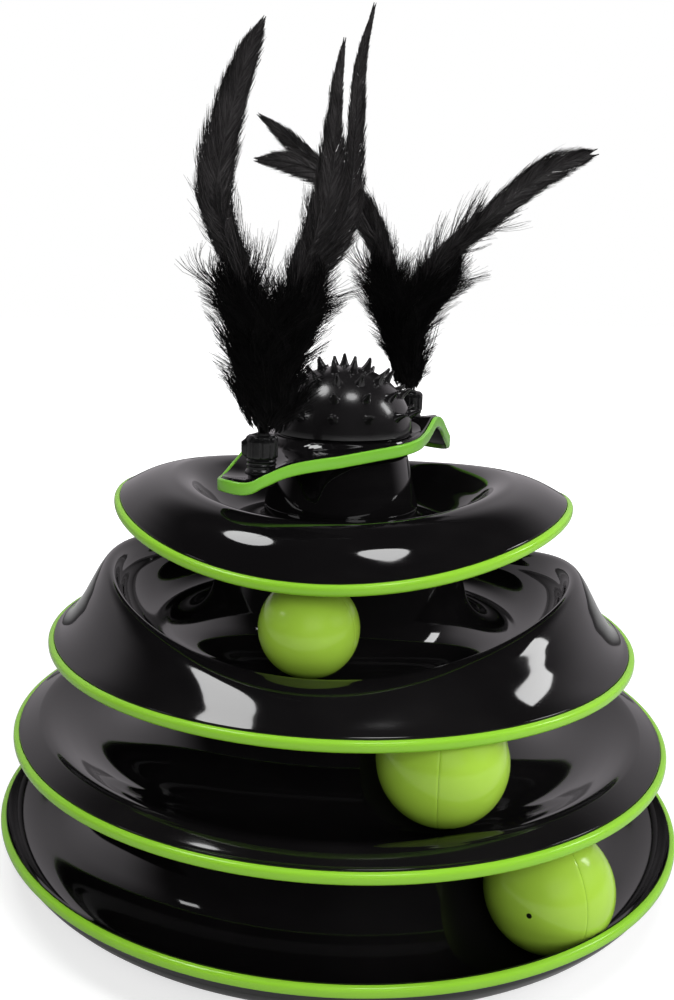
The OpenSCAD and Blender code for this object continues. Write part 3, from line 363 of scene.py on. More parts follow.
def upper_tray(middle_locator):
    """A trough whose crest is high at the sides, low at the front and back, and flares to the rim."""
    k = (1 + WAVE) / 2
    lip = lip_point(UPPER_RIM_R, UPPER_LOW)
    low_z, high_z = UPPER_FLOOR + UPPER_CREST_LOW, UPPER_FLOOR + UPPER_CREST_HIGH
    turns = np.radians([15, 30, 44, 58, 72, 86])
    wall_r = np.append(UPPER_TRACK + UPPER_TROUGH_R * np.sin(turns),
                       UPPER_TRACK + UPPER_TROUGH_R + UPPER_WALL_W * np.array([0.24, 0.58, 1]))
    wall_rise = np.append(UPPER_TROUGH_R * (1 - np.cos(turns)),
                          UPPER_CREST_HIGH * np.array([0.78, 0.95, 1]))
    wall_share = np.interp(wall_r, [UPPER_TRACK, 74.2, 78.8, 81.8, 83.8, 85.4, UPPER_CREST_R],
                           [0, 0.13, 0.36, 0.6, 0.78, 0.92, 1])
    wall_points = [at(UPPER_TRACK, UPPER_FLOOR)]
    for r, rise, share in zip(wall_r, wall_rise, wall_share):
        wall_points.append(at(r, UPPER_FLOOR + blend(UPPER_CREST_LOW * share, rise, k)))
    for share, high, low in ((0.11, 0.04, 0.03), (0.24, 0.18, 0.09), (0.38, 0.38, 0.2),
                             (0.54, 0.61, 0.37), (0.72, 0.82, 0.6), (0.88, 0.95, 0.83), (1, 1, 1)):
        z = blend(blend(low_z, lip[0, 0, 1], low), blend(high_z, lip[0, 0, 1], high), k)
        wall_points.append(at(blend(UPPER_CREST_R, lip[0, 0, 0], share), z))
    outer = smooth(joined(*wall_points), 5)
    under = shifted(outer, WALL)[:, -6::-5]
    under = np.stack([np.minimum(under[..., 0], UPPER_RIM_R - BAND_D - WALL / 2), under[..., 1]], -1)
    hub = (UPPER_TRACK, UPPER_FLOOR, UPPER_TROUGH_R, UPPER_HUB_SLOPE, DISH_SEAT)
    return tray_section(hub, 24, middle_locator + LOCATOR_GAP + FOOT_RING_W, UPPER_RIM_R, UPPER_LOW,
                        PEDESTAL_FOOT_R - WALL - LOCATOR_GAP, outer, under)


def dish_low():
    """The height of the dish rim's lower edge, which rises at the sides."""
    return DISH_MEAN_LOW + DISH_RIM_WAVE * WAVE


def top_dish():
    """A dish round a boss: its crest and its rim both rise at the sides."""
    flat = PEDESTAL_FOOT_R + DISH_FLAT_W
    in_shares = [[0, 0], [0.2, 0.06], [0.42, 0.27], [0.62, 0.6], [0.8, 0.88]]
    out_shares = [[0, 0], [0.2, 0.03], [0.42, 0.15], [0.64, 0.38], [0.84, 0.7], [1, 1]]
    crest = at(DISH_CREST_R, DISH_FLOOR + DISH_CREST_RISE + DISH_CREST_WAVE * WAVE)
    outer = smooth(joined(run(at(flat, DISH_FLOOR), crest, in_shares),
                          run(crest, lip_point(DISH_RIM_R, dish_low()), out_shares)), 7)
    boss_h = BOSS_TOP - DISH_FLOOR
    boss = same([[PEDESTAL_FOOT_R - WALL, BOSS_TOP], [PEDESTAL_FOOT_R, BOSS_TOP]])
    side = smooth(same([[PEDESTAL_FOOT_R + DISH_FLAT_W * s, DISH_FLOOR + boss_h * h]
                        for s, h in ((0, 0.8), (0.02, 0.45), (0.13, 0.18), (0.36, 0.02))]), 4)
    under = shifted(outer, WALL)[:, -8::-7]
    under = np.stack([np.minimum(under[..., 0], DISH_RIM_R - BAND_D - WALL / 2),
                      np.maximum(under[..., 1], DISH_SEAT)], -1)
    section = joined(boss, side, outer, tray_edge(DISH_RIM_R, dish_low()), under,
                     at(PEDESTAL_FOOT_R - WALL, DISH_SEAT))
    lip = boss.shape[1] + side.shape[1] + outer.shape[1] - 1
    return rounded(section, {1: BOSS_CORNER, lip: LIP_CORNER})


def edge_band(rim, low):
    """A strip with rounded outer corners and a groove for the tray's tongue."""
    inner, groove = rim - BAND_D, rim - TONGUE_REACH
    groove_low, groove_high = low + TONGUE_SEAT - EDGE_GAP, low + TONGUE_SEAT + TONGUE_H + EDGE_GAP
    section = joined(at(inner, low), at(rim, low), at(rim, low + BAND_H), at(inner, low + BAND_H),
                     at(inner, groove_high), at(groove, groove_high), at(groove, groove_low),
                     at(inner, groove_low))
    return rounded(section, {0: BAND_CORNER, 1: BAND_ROUND, 2: BAND_ROUND, 3: BAND_CORNER}, 6)


# Arm

# Heights of the arm's top in shares of its wave: place from front tip to rear tip, right edge, middle, left
ARM_SHARES = np.array([
    [-1, 0.14, 0.17, 0.19], [-0.955, 0.19, 0.14, 0.16], [-0.92, 0.25, 0.12, 0.14],
    [-0.86, 0.34, 0.1, 0.14], [-0.8, 0.42, 0.12, 0.19], [-0.73, 0.48, 0.2, 0.26],
    [-0.64, 0.512, 0.32, 0.35], [-0.56, 0.525, 0.4, 0.42], [-0.47, 0.54, 0.48, 0.5],
    [-0.38, 0.56, 0.55, 0.57], [-0.2, 0.63, 0.64, 0.65], [0, 0.7, 0.69, 0.69],
    [0.14, 0.735, 0.71, 0.71], [0.26, 0.76, 0.73, 0.71], [0.36, 0.85, 0.76, 0.68],
    [0.46, 1.01, 0.79, 0.65], [0.56, 0.95, 0.75, 0.59], [0.66, 0.79, 0.66, 0.52],
    [0.74, 0.61, 0.57, 0.45], [0.83, 0.4, 0.39, 0.33], [0.91, 0.21, 0.24, 0.21],
    [1, 0.09, 0.11, 0.11]])


def column(x, number):
    """A cubic look-up in one column of the arm's height shares, after a mean over three rows."""
    xs, rows = ARM_SHARES[:, 0], ARM_SHARES[:, number]
    ys = rows.copy()
    ys[1:-1] = rows[:-2] * 0.22 + rows[1:-1] * 0.56 + rows[2:] * 0.22
    slopes = np.gradient(ys, xs)
    i = np.clip(np.searchsorted(xs, x) - 1, 0, len(xs) - 2)
    h = xs[i + 1] - xs[i]
    t = np.clip((x - xs[i]) / h, 0, 1)
    return ((2 * t ** 3 - 3 * t ** 2 + 1) * ys[i] + (t ** 3 - 2 * t ** 2 + t) * h * slopes[i]
            + (3 * t ** 2 - 2 * t ** 3) * ys[i + 1] + (t ** 3 - t ** 2) * h * slopes[i + 1])


def reach(along):
    """The arm's reach on the side where a point lies."""
    return np.where(along > 0, REAR_REACH, FRONT_REACH)


def taper(along):
    """Half the angle between the arm's two straight edges, in radians."""
    return np.arcsin((ARM_WAIST_R - ARM_TIP_R) / (reach(along) - ARM_TIP_R))


def arm_edge(turn, grow):
    """Radius of the plan's outline: a disc, two tips and the straight edges that touch both."""
    along = np.cos(turn)
    centre, k = reach(along) - ARM_TIP_R, taper(along)
    b = np.arccos(np.abs(along))
    waist, tip = ARM_WAIST_R + grow, ARM_TIP_R + grow
    straight = waist / np.maximum(np.cos(np.pi / 2 - k - b), 0.1)
    end = centre * np.cos(b) + np.sqrt(np.maximum(0, tip ** 2 - (centre * np.sin(b)) ** 2))
    on_tip = b < np.arctan2(tip * np.cos(k), centre + tip * np.sin(k))
    return np.where(b >= np.pi / 2 - k, waist, np.where(on_tip, end, straight))


def arm_wave(u, v):
    """Height of the plate's top from its right edge, middle and left edge at a place along it."""
    x = u / reach(u)
    s = v * np.cos(taper(u)) / (ARM_WAIST_R - np.abs(u) * np.sin(taper(u)))
    right, middle, left = column(x, 1), column(x, 2), column(x, 3)
    share = middle + (left - right) / 2 * s + ((left + right) / 2 - middle) * s * s
    return HUB_Z - ARM_DROOP + ARM_WAVE * share


def arm_top(turn, r):
    """The plate's top: level beside the hub, and then the wave."""
    t = np.clip((r - DOME_R - LEVEL_PAST) / LEVEL_EASE, 0, 1)
    wave = arm_wave(r * np.cos(turn), r * np.sin(turn))
    return blend(HUB_Z + HUB_H - PLATE_DROP, wave, t * t * (3 - 2 * t))


def arm_point(turn, r, z):
    """A point of the arm in the shared frame."""
    return upright(r, turn + np.radians(ARM_TURN), z)


def crowded(turn):
    """Angles round the plan, closer together near the tips by a sine of twice the angle."""
    return turn - np.radians(CROWDING) * np.sin(2 * turn)


def arm_plate():
    """The wavy plate: top outwards, a rounded edge, and the underside inwards."""
    turn = crowded(np.arange(480) * 2 * np.pi / 480)[:, None]
    start, end, corner = HUB_R - HUB_WALL / 2, arm_edge(turn, 0), 0.5
    radii = blend(start, end - corner, np.linspace(0, 1, 26)[None])
    top = arm_top(turn, radii)
    bend = np.linspace(0, np.pi, 7)[1:-1][None]
    edge_r = end - corner + corner * np.sin(bend)
    edge_z = (arm_top(turn, end) - np.where(bend < np.pi / 2, corner * (1 - np.sin(bend)), 0)
              - ARM_THICK / 2 * (1 - np.cos(bend)))
    r = np.concatenate([radii, edge_r, radii[:, ::-1]], 1)
    z = np.concatenate([top, edge_z, top[:, ::-1] - ARM_THICK], 1)
    return arm_point(turn, r, z), grid_faces(*r.shape)


def arm_hub():
    """The arm's round cup with the sleeve that runs on the stem."""
    sleeve, top = STEM_R + STEM_GAP, HUB_Z + HUB_H
    line = [[sleeve, HUB_Z], [HUB_R, HUB_Z], [HUB_R, top], [HUB_R - HUB_WALL, top],
            [HUB_R - HUB_WALL, HUB_Z + HUB_FLOOR], [sleeve + SLEEVE_W, HUB_Z + HUB_FLOOR],
            [sleeve + SLEEVE_W, top - SLEEVE_SHORT], [sleeve, top - SLEEVE_SHORT]]
    return lathe(eased_line(line, {1: 0.4, 2: 0.4, 3: 0.3}), 144)


def arm_pad(side):
    """A round pad under a socket, with the hole that its spigot goes through."""
    line = [[PAD_HOLE, 0], [PAD_R, 0], [PAD_R, -PAD_DEPTH], [PAD_HOLE, -PAD_DEPTH]]
    return lathe(eased_line(line, {2: 0.4}), 48, socket_place(side))


def arm_band(start):
    """Half of the edge band: a rounded strip along the plan's outline, just under the plate's top."""
    turn = np.linspace(start + SEAM_GAP, start + 180 - SEAM_GAP, 241)
    turn = crowded(np.radians(turn))[:, None]
    corner, inside, t = 0.55, 0.12, np.radians(np.linspace(0, 90, 5))
    across = np.concatenate([[inside], ARM_BAND_T - corner + corner * np.sin(t),
                             ARM_BAND_T - corner + corner * np.cos(t), [inside, 0, 0]])
    down = np.concatenate([[BAND_DROP], BAND_DROP + corner - corner * np.cos(t),
                           ARM_BAND_H - corner + corner * np.sin(t),
                           [ARM_BAND_H, ARM_BAND_H - inside, BAND_DROP + inside]])
    inner = arm_edge(turn, BAND_SIT)
    outer = arm_edge(turn, BAND_SIT + ARM_BAND_T)
    r = blend(inner, outer, across[None] / ARM_BAND_T)
    z = arm_top(turn, arm_edge(turn, 0)) - down[None]
    points = arm_point(turn, r, z)
    return points, capped(points)


# Sockets, nuts and ferrules

def socket_place(side):
    """Where a socket stands: side is -1 at the front tip and 1 at the rear tip."""
    u, v = side * SOCKET_AT, side * SOCKET_OFF
    turn = np.radians(ARM_TURN)
    z = float(arm_wave(np.array(u), np.array(v))) + PAD_RISE
    return np.array([u * np.cos(turn) - v * np.sin(turn), u * np.sin(turn) + v * np.cos(turn), z])


NUT_FOOT = FLANGE_H + NECK_H + NUT_LIFT
NUT_TOP = NUT_FOOT + NUT_H


def socket(side):
    """A flange, a ringed neck and the core that the nut runs on."""
    core_top, bore = NUT_TOP - CORE_SHORT, FERRULE_R + BORE_GAP
    steps = (0.2, 0), (0.4, 0), (0.5, 1), (0.6, 0), (0.72, 0), (0.84, 1), (0.96, 0), (1, 0)
    rings = [[NECK_R + NECK_RING * w, FLANGE_H + NECK_H * h] for h, w in steps]
    line = ([[0, -SPIGOT_H], [SPIGOT_R, -SPIGOT_H], [SPIGOT_R, 0], [FLANGE_R, 0],
             [FLANGE_R, FLANGE_H]] + rings
            + [[CORE_R, FLANGE_H + NECK_H], [CORE_R, core_top], [bore, core_top],
               [bore, core_top - BORE_DEPTH], [0, core_top - BORE_DEPTH]])
    corners = {3: 0.2, 4: 0.4, 7: 0.25, 10: 0.25}
    return lathe(eased_line(line, corners), 64, socket_place(side), closed=False)


def nut(side):
    """A clamp nut: its radius dips at ten flutes and swells at one lug, less so at its chamfers."""
    bore, mouth, ceiling = CORE_R + THREAD_GAP, 3.1, NUT_H - 1.2
    line = np.array([
        [bore, 0], [NUT_R - 0.3, 0], [NUT_R, 0.4], [NUT_R, 1.2], [NUT_R, 2.4], [NUT_R, 4.0],
        [NUT_R, 5.4], [NUT_R, NUT_H - 1.3], [NUT_R - 0.35, NUT_H - 0.6], [NUT_R - 1, NUT_H - 0.1],
        [NUT_R - 1.4, NUT_H], [mouth + 0.2, NUT_H], [mouth, NUT_H - 0.2], [mouth, ceiling],
        [bore, ceiling]])
    outside = np.isclose(line[:, 0], NUT_R, atol=0.4) & (line[:, 1] < NUT_H - 0.5)
    count, flutes, flute_d, lug_d, lug_w = 240, 10, 0.45, 1.4, 1.7
    turn = np.arange(count)[:, None] * 2 * np.pi / count
    flute = flute_d * np.maximum(0, np.cos(flutes * turn + np.pi)) ** 3
    lug = lug_d * np.clip(1.4 - np.abs(((turn - np.pi) * NUT_R) / lug_w) ** 3, 0, 1)
    high = np.clip((line[:, 1] - 0.6) / 0.8, 0, 1) * np.clip((6.2 - line[:, 1]) / 0.6, 0, 1)
    r = line[:, 0] + outside * (lug * high - flute)
    place = socket_place(side) + [0, 0, NUT_FOOT]
    return upright(r, turn, line[:, 1]) + place, grid_faces(*r.shape)


def ferrule(side):
    """The sleeve that binds the quills, with a rounded upper edge."""
    bottom, top = NUT_TOP - CORE_SHORT - BORE_DEPTH, NUT_TOP + FERRULE_PROUD
    line = [[0, bottom], [FERRULE_R, bottom], [FERRULE_R, top], [0, top]]
    return lathe(eased_line(line, {1: 0.2, 2: 0.5}), 48, socket_place(side), closed=False)


# Pedestal, collar and dome

def pedestal():
    """A tapered shell with a skirt inside the dish's boss and a tube for the screw."""
    skirt, tube_end = PEDESTAL_FOOT_R - WALL - SKIRT_GAP, PEDESTAL_TOP - TUBE_L
    line = [[skirt - SKIRT_W, BOSS_TOP - SKIRT_H], [skirt, BOSS_TOP - SKIRT_H], [skirt, BOSS_TOP],
            [PEDESTAL_FOOT_R, BOSS_TOP],
            [PEDESTAL_FOOT_R - PEDESTAL_FOOT_W, BOSS_TOP + PEDESTAL_FOOT_H],
            [PEDESTAL_TOP_R, PEDESTAL_TOP], [TUBE_BORE, PEDESTAL_TOP], [TUBE_BORE, tube_end],
            [TUBE_R, tube_end], [TUBE_R, PEDESTAL_TOP - PEDESTAL_PLATE],
            [PEDESTAL_TOP_R - PEDESTAL_WALL, PEDESTAL_TOP - PEDESTAL_PLATE], [skirt - SKIRT_W, BOSS_TOP]]
    return lathe(eased_line(line, {3: 0.3, 5: 1.2}), 144)


def collar():
    """The stem that the arm turns on, and the plate that carries the dome."""
    bore_end = COLLAR_Z + 1
    line = [[STEM_BORE, PEDESTAL_TOP], [STEM_R, PEDESTAL_TOP], [STEM_R, COLLAR_Z], [COLLAR_R, COLLAR_Z],
            [COLLAR_R, COLLAR_Z + COLLAR_H], [0, COLLAR_Z + COLLAR_H], [0, bore_end],
            [STEM_BORE, bore_end]]
    return lathe(eased_line(line, {3: 0.5}))


def dome_shell():
    """Half an ellipse outside and half a smaller one inside, joined at the dome's lower edge."""
    t = np.radians(np.linspace(0, 90, 41))[:, None]
    outside = np.concatenate([DOME_R * np.cos(t), COLLAR_Z + DOME_H * np.sin(t)], 1)
    inner_r, inner_h, seat = COLLAR_R - 1.5, DOME_H - COLLAR_H - DOME_WALL, COLLAR_R + 0.05
    inside = np.concatenate([inner_r * np.cos(t), COLLAR_Z + COLLAR_H + inner_h * np.sin(t)], 1)[::-1]
    foot = [[seat, COLLAR_Z + COLLAR_H], [seat, COLLAR_Z], [DOME_R - 0.6, COLLAR_Z],
            [DOME_R - 0.12, COLLAR_Z + 0.25]]
    return lathe(np.concatenate([foot, outside[2:], inside]), 144)


def dome_spikes():
    """Blunt concave cones at the crossings of four rings and their turns, and one on the top."""
    line = np.array([[2.5, -0.7], [2.05, -0.1], [1.68, 0.45], [1.35, 1.2], [1.02, 2.2], [0.78, 3.1],
                     [0.6, 3.9], [0.48, 4.25], [0.28, 4.42], [0, 4.45]])
    sides, rings = 20, (12, 12, 12, 8, 1)
    spike = upright(line[:, 0], np.arange(sides)[:, None] * 2 * np.pi / sides, line[:, 1])
    lift = np.radians(np.repeat([18, 35.5, 53, 70, 90], rings))
    around = np.radians(np.concatenate([18 + np.arange(n) * 360 / n for n in rings]))
    out = np.stack([np.cos(lift) * np.cos(around), np.cos(lift) * np.sin(around), np.sin(lift)], -1)
    side = np.stack([-np.sin(around), np.cos(around), 0 * around], -1)
    up = np.cross(out, side)
    place = out * [DOME_R, DOME_R, DOME_H] + [0, 0, COLLAR_Z]
    points = (place[:, None, None] + spike[None, ..., :1] * side[:, None, None]
              + spike[None, ..., 1:2] * up[:, None, None] + spike[None, ..., 2:] * out[:, None, None])
    cone = outward(points[0].reshape(-1, 3), grid_faces(sides, len(line), closed_cols=False))
    cap = np.arange(sides)[None, ::-1] * len(line)
    shift = (np.arange(len(lift)) * sides * len(line))[:, None, None]
    return points, [(cone[None] + shift).reshape(-1, 4), (cap[None] + shift).reshape(-1, sides)]


# Balls

def half_ball(centre, r, seam, side):
    """Half a hollow ball: a bevelled seam, the outer arc to its pole and the inner arc back."""
    t = np.radians(np.linspace(0, 90, 37))
    arc = np.stack([np.cos(t), np.sin(t)], -1)
    outer, inner = r * arc, (r - BALL_WALL) * arc
    count, gap = 112, 0.01
    bevel = [[r - 0.16, gap], [r - 0.05, 0.04], [r - 0.01, 0.12]]
    inner[0, 1] = gap
    line = np.concatenate([bevel, outer[1:], inner[::-1]])
    turn = np.arange(count)[:, None] * 2 * np.pi / count
    axial, radial = line[:, 1] + 0 * turn, line[:, 0]
    angle = np.radians(seam)
    points = np.stack([side * axial * np.cos(angle) - radial * np.cos(turn) * np.sin(angle),
                       side * axial * np.sin(angle) + radial * np.cos(turn) * np.cos(angle),
                       radial * np.sin(turn)], -1)
    return points + np.asarray(centre), grid_faces(count, len(line))


# Feathers and down

BACK = np.array([0.0, 1.0, 0.0])
PATH_STEPS = 16
# Points of the shafts as shares of the plume's height, the front plume's three feathers first
FEATHER_PATHS = np.array([
    [[0, 0, 0], [-0.011, -0.001, 0.136], [-0.027, -0.003, 0.262], [-0.051, -0.007, 0.398],
     [-0.089, -0.012, 0.482], [-0.119, -0.019, 0.577], [-0.107, -0.027, 0.694],
     [-0.078, -0.037, 0.808], [-0.048, -0.049, 0.907], [-0.007, -0.062, 0.991]],
    [[0, 0, 0], [0.025, 0, 0.162], [0.063, 0.002, 0.313], [0.091, 0.003, 0.412],
     [0.129, 0.006, 0.503], [0.154, 0.009, 0.587], [0.169, 0.014, 0.683],
     [0.174, 0.019, 0.777], [0.179, 0.024, 0.87], [0.189, 0.031, 0.963]],
    [[0, 0, 0], [0.023, 0.001, 0.124], [0.049, 0.004, 0.23], [0.08, 0.009, 0.318],
     [0.121, 0.015, 0.412], [0.175, 0.024, 0.499], [0.21, 0.034, 0.596],
     [0.221, 0.047, 0.753], [0.23, 0.061, 0.907], [0.263, 0.077, 1.053]],
    [[0, 0, 0], [-0.019, -0.001, 0.136], [-0.005, -0.002, 0.254], [0.038, -0.005, 0.353],
     [0.087, -0.009, 0.414], [0.153, -0.014, 0.476], [0.24, -0.021, 0.551],
     [0.325, -0.028, 0.627], [0.416, -0.036, 0.685], [0.513, -0.046, 0.72]],
    [[0, 0, 0], [-0.015, 0, 0.12], [-0.041, 0.002, 0.235], [-0.077, 0.003, 0.361],
     [-0.117, 0.006, 0.455], [-0.166, 0.009, 0.541], [-0.233, 0.014, 0.618],
     [-0.311, 0.019, 0.68], [-0.396, 0.024, 0.759], [-0.488, 0.031, 0.828]],
    [[0, 0, 0], [-0.022, -0.001, 0.136], [-0.056, -0.003, 0.291], [-0.095, -0.007, 0.406],
     [-0.136, -0.012, 0.493], [-0.188, -0.019, 0.57], [-0.251, -0.027, 0.627],
     [-0.325, -0.037, 0.667], [-0.405, -0.049, 0.685], [-0.495, -0.062, 0.688]]])
QUILL_SPOTS = np.array([[-0.5, -0.3, 0], [0.1, 0.5, 0], [0.5, -0.3, 0]])
# Widths of the two vanes along each shaft in millimetres: left of the shaft, right of the shaft
VANE_WIDTHS = [
    ([0, 0, 1.5, 3.5, 4.6, 5.6, 6.6, 4.8, 3, 0.3], [0, 0, 1.5, 3, 3.6, 4.6, 4.6, 3.6, 3.6, 0.3]),
    ([0, 0, 1, 3.5, 5, 4.6, 4.2, 3, 2, 0.3], [0, 0, 1, 4, 5.6, 5, 3.2, 1.6, 1, 0.3]),
    ([0, 0, 1, 2.6, 3, 2.4, 2.2, 2.3, 1.7, 0.3], [0, 0, 1, 3, 5, 5.8, 4, 3.2, 1.8, 0.3]),
    ([0, 0, 1.5, 3.4, 3.4, 3.4, 3.8, 5, 5.2, 1], [0, 0, 1.5, 3.6, 4, 4, 4.4, 5, 4.6, 1]),
    ([0, 0, 1.2, 3.4, 3.8, 3.8, 3.6, 3.6, 3, 0.4], [0, 0, 1.2, 3.2, 3.6, 3.6, 3.4, 3.2, 2.6, 0.4]),
    ([0, 0, 1.4, 4, 5, 5.2, 5, 5, 3.4, 0.5], [0, 0, 1.4, 4, 5, 5, 4.8, 4.8, 3.2, 0.5])]


def strands(centres, across, width, thick):
    """Closed three-sided strands along centre lines of [strand, point, xyz]."""
    count, steps = centres.shape[:2]
    forward = np.gradient(centres, axis=1)
    lift = np.cross(forward, across)
    lift /= np.linalg.norm(lift, axis=-1, keepdims=True) + 1e-12
    side = np.cross(lift, forward)
    side /= np.linalg.norm(side, axis=-1, keepdims=True) + 1e-12
    w, t = width[..., None], thick[..., None]
    points = np.stack([centres - side * w / 2, centres + side * w / 2, centres + lift * t], 2)
    shift = (np.arange(count) * steps * 3)[:, None, None]
    return points, [(faces[None] + shift).reshape(-1, faces.shape[1]) for faces in capped(points[0])]


def on_path(path, share):
    """Points and directions at shares of a path's length."""
    steps = np.linalg.norm(np.diff(path, axis=0), axis=1)
    length = np.concatenate([[0], np.cumsum(steps)])
    place = np.stack([np.interp(share * length[-1], length, path[:, i]) for i in range(3)], -1)
    beyond = (np.maximum(share, 1) - 1)[..., None] * length[-1]
    place = place + beyond * (path[-1] - path[-2]) / steps[-1]
    slope = np.gradient(path, axis=0)
    ahead = np.stack([np.interp(share * length[-1], length, slope[:, i]) for i in range(3)], -1)
    return place, ahead / np.linalg.norm(ahead, axis=-1, keepdims=True)


def shaft_path(base, number):
    """The smooth path of a feather's shaft from its quill."""
    points = base + FEATHER_PATHS[number] * PLUME_H
    points[:3] += QUILL_SPOTS[number % 3] * FERRULE_R * np.array([1, 0.5, 0.15])[:, None]
    return smooth(points, PATH_STEPS)


def vane(rng, path, widths, way, count, past):
    """Barbs of one vane: each runs along the shaft while its distance from it rises and levels off."""
    steps, clumps = 5, 48
    marks = np.concatenate([[0], np.cumsum(np.linalg.norm(np.diff(path, axis=0), axis=1))])
    total = marks[-1]
    root = np.sort(rng.uniform(0.2, 0.99, count)) * total
    clump = np.interp(root / total * (clumps - 2), np.arange(clumps), rng.normal(0, 1, clumps))
    stray = rng.uniform(0, 1, count) > 0.86
    half = np.interp(root + 4, marks[::PATH_STEPS], widths)
    along = (2.3 * half + 2.5) * np.clip(1 + 0.06 * clump + rng.normal(0, 0.12, count), 0.5, 1.5)
    along = np.minimum(along, (total - root) * rng.uniform(0.85, 1.02, count) + past)
    tip_half = np.interp(root + 0.75 * along, marks[::PATH_STEPS], widths)
    tip_half = tip_half * np.clip(1 + 0.06 * clump + rng.normal(0, 0.1, count) + 0.2 * stray, 0.5, 1.5)
    share = np.linspace(0, 1, steps)[None]
    place, ahead = on_path(path, (root[:, None] + along[:, None] * share) / total)
    out = np.cross(ahead, BACK) * way
    out /= np.linalg.norm(out, axis=-1, keepdims=True)
    spread = tip_half[:, None] * (1 - (1 - share) ** 1.6)
    lift = (0.06 * tip_half * clump + rng.normal(0, 0.14, count))[:, None] * share ** 2 - 0.16 * spread
    line = place + out * spread[..., None] + BACK * lift[..., None]
    line += rng.normal(0, 0.06, line.shape) * share[..., None]
    roll = (0.35 * clump + rng.normal(0, 0.4, count))[:, None, None]
    width = np.array([0.32, 0.3, 0.26, 0.18, 0.06])
    return strands(line, ahead + BACK * roll, width, width * 0.35)


# Barbs in each vane of a feather, and how far they may pass its shaft's tip
BARBS = [(1700, 0.8), (1300, 0.8), (1300, 0.8), (1300, 2.5), (1300, 0.8), (1300, 0.8)]
# Loose barbs on the lower part of each feather: how many, from and to which share, longest
SKIRTS = [(1000, 0.2, 0.54, 18), (700, 0.2, 0.55, 13), (700, 0.2, 0.5, 13),
          (1700, 0.1, 0.6, 17), (1100, 0.1, 0.6, 14), (1100, 0.1, 0.6, 14)]


def feather(side, number):
    """A shaft, two dense vanes, and loose barbs on its lower half."""
    rng = np.random.default_rng(40 + number)
    base = socket_place(side) + [0, 0, NUT_TOP + FERRULE_PROUD]
    path = shaft_path(base, number)
    width = np.interp(np.linspace(0, 1, len(path)), [0, 0.5, 1], [0.95, 0.6, 0.15])
    raised = path - BACK * width[:, None] * 0.5
    shells = [strands(raised[None], -BACK, width, width * 0.8)]
    for way, widths in zip((1, -1), VANE_WIDTHS[number]):
        shells.append(vane(rng, path, widths, way, *BARBS[number]))
    shells.append(wisps(rng, path, *SKIRTS[number]))
    return shells


def wisps(rng, path, count, start, end, longest):
    """Fine wavy strands all round a shaft, in small groups that bend towards its tip."""
    steps, groups = 5, count // 9
    share = np.linspace(0, 1, steps)[None, :, None]
    group = rng.integers(0, groups, count)

    def shared(low, high, loose):
        """One number per group, and a little of each strand's own."""
        return rng.uniform(low, high, groups)[group] + rng.normal(0, loose, count)

    place, ahead = on_path(path, np.clip(shared(start, end, 0.008), 0, 1))
    turn = shared(0, 2 * np.pi, 0.12)[:, None]
    first = np.cross(ahead, BACK)
    first /= np.linalg.norm(first, axis=-1, keepdims=True)
    out = np.cos(turn) * first + 0.7 * np.sin(turn) * np.cross(ahead, first)
    length = (longest * shared(0.4, 1, 0.1))[:, None, None]
    lean = shared(0.28, 0.75, 0.05)[:, None, None]
    line = place[:, None] + length * share * (ahead[:, None] + lean * out[:, None] * (1.5 - 0.5 * share))
    line = line + share * rng.normal(0, 0.3, (count, steps, 3))
    width = np.linspace(0.22, 0.07, steps)
    return strands(line, out[:, None] * [1, 1, 0.2] + [0, 0, 0.3], width, width * 0.8)


# Outlines of the tufts above the ferrules: height, left and right edge, and half the depth
FRONT_DOWN = np.array([[-2, -5, 8, 4], [1, -6.5, 11, 5], [8, -9.2, 12.5, 6], [18, -10.4, 13.4, 7],
                       [29, -13.2, 17.5, 8], [36, -14.6, 19.5, 9], [46, -18.2, 22, 10], [53, -18.5, 21, 10],
                       [60, -14, 17, 8], [67, -7, 8, 6], [77, -5, 6, 5]])
REAR_DOWN = np.array([[-2, -6, 4.5, 4], [5, -8.5, 5.5, 5], [14, -9, 5, 5], [22, -13, 6.5, 6],
                      [31, -16.5, 10.5, 8], [39, -21, 16, 9], [46, -22.5, 20.5, 10], [52, -21, 20, 10],
                      [59, -17, 17, 8], [66, -11, 8, 6], [75, -8, 6, 5]])


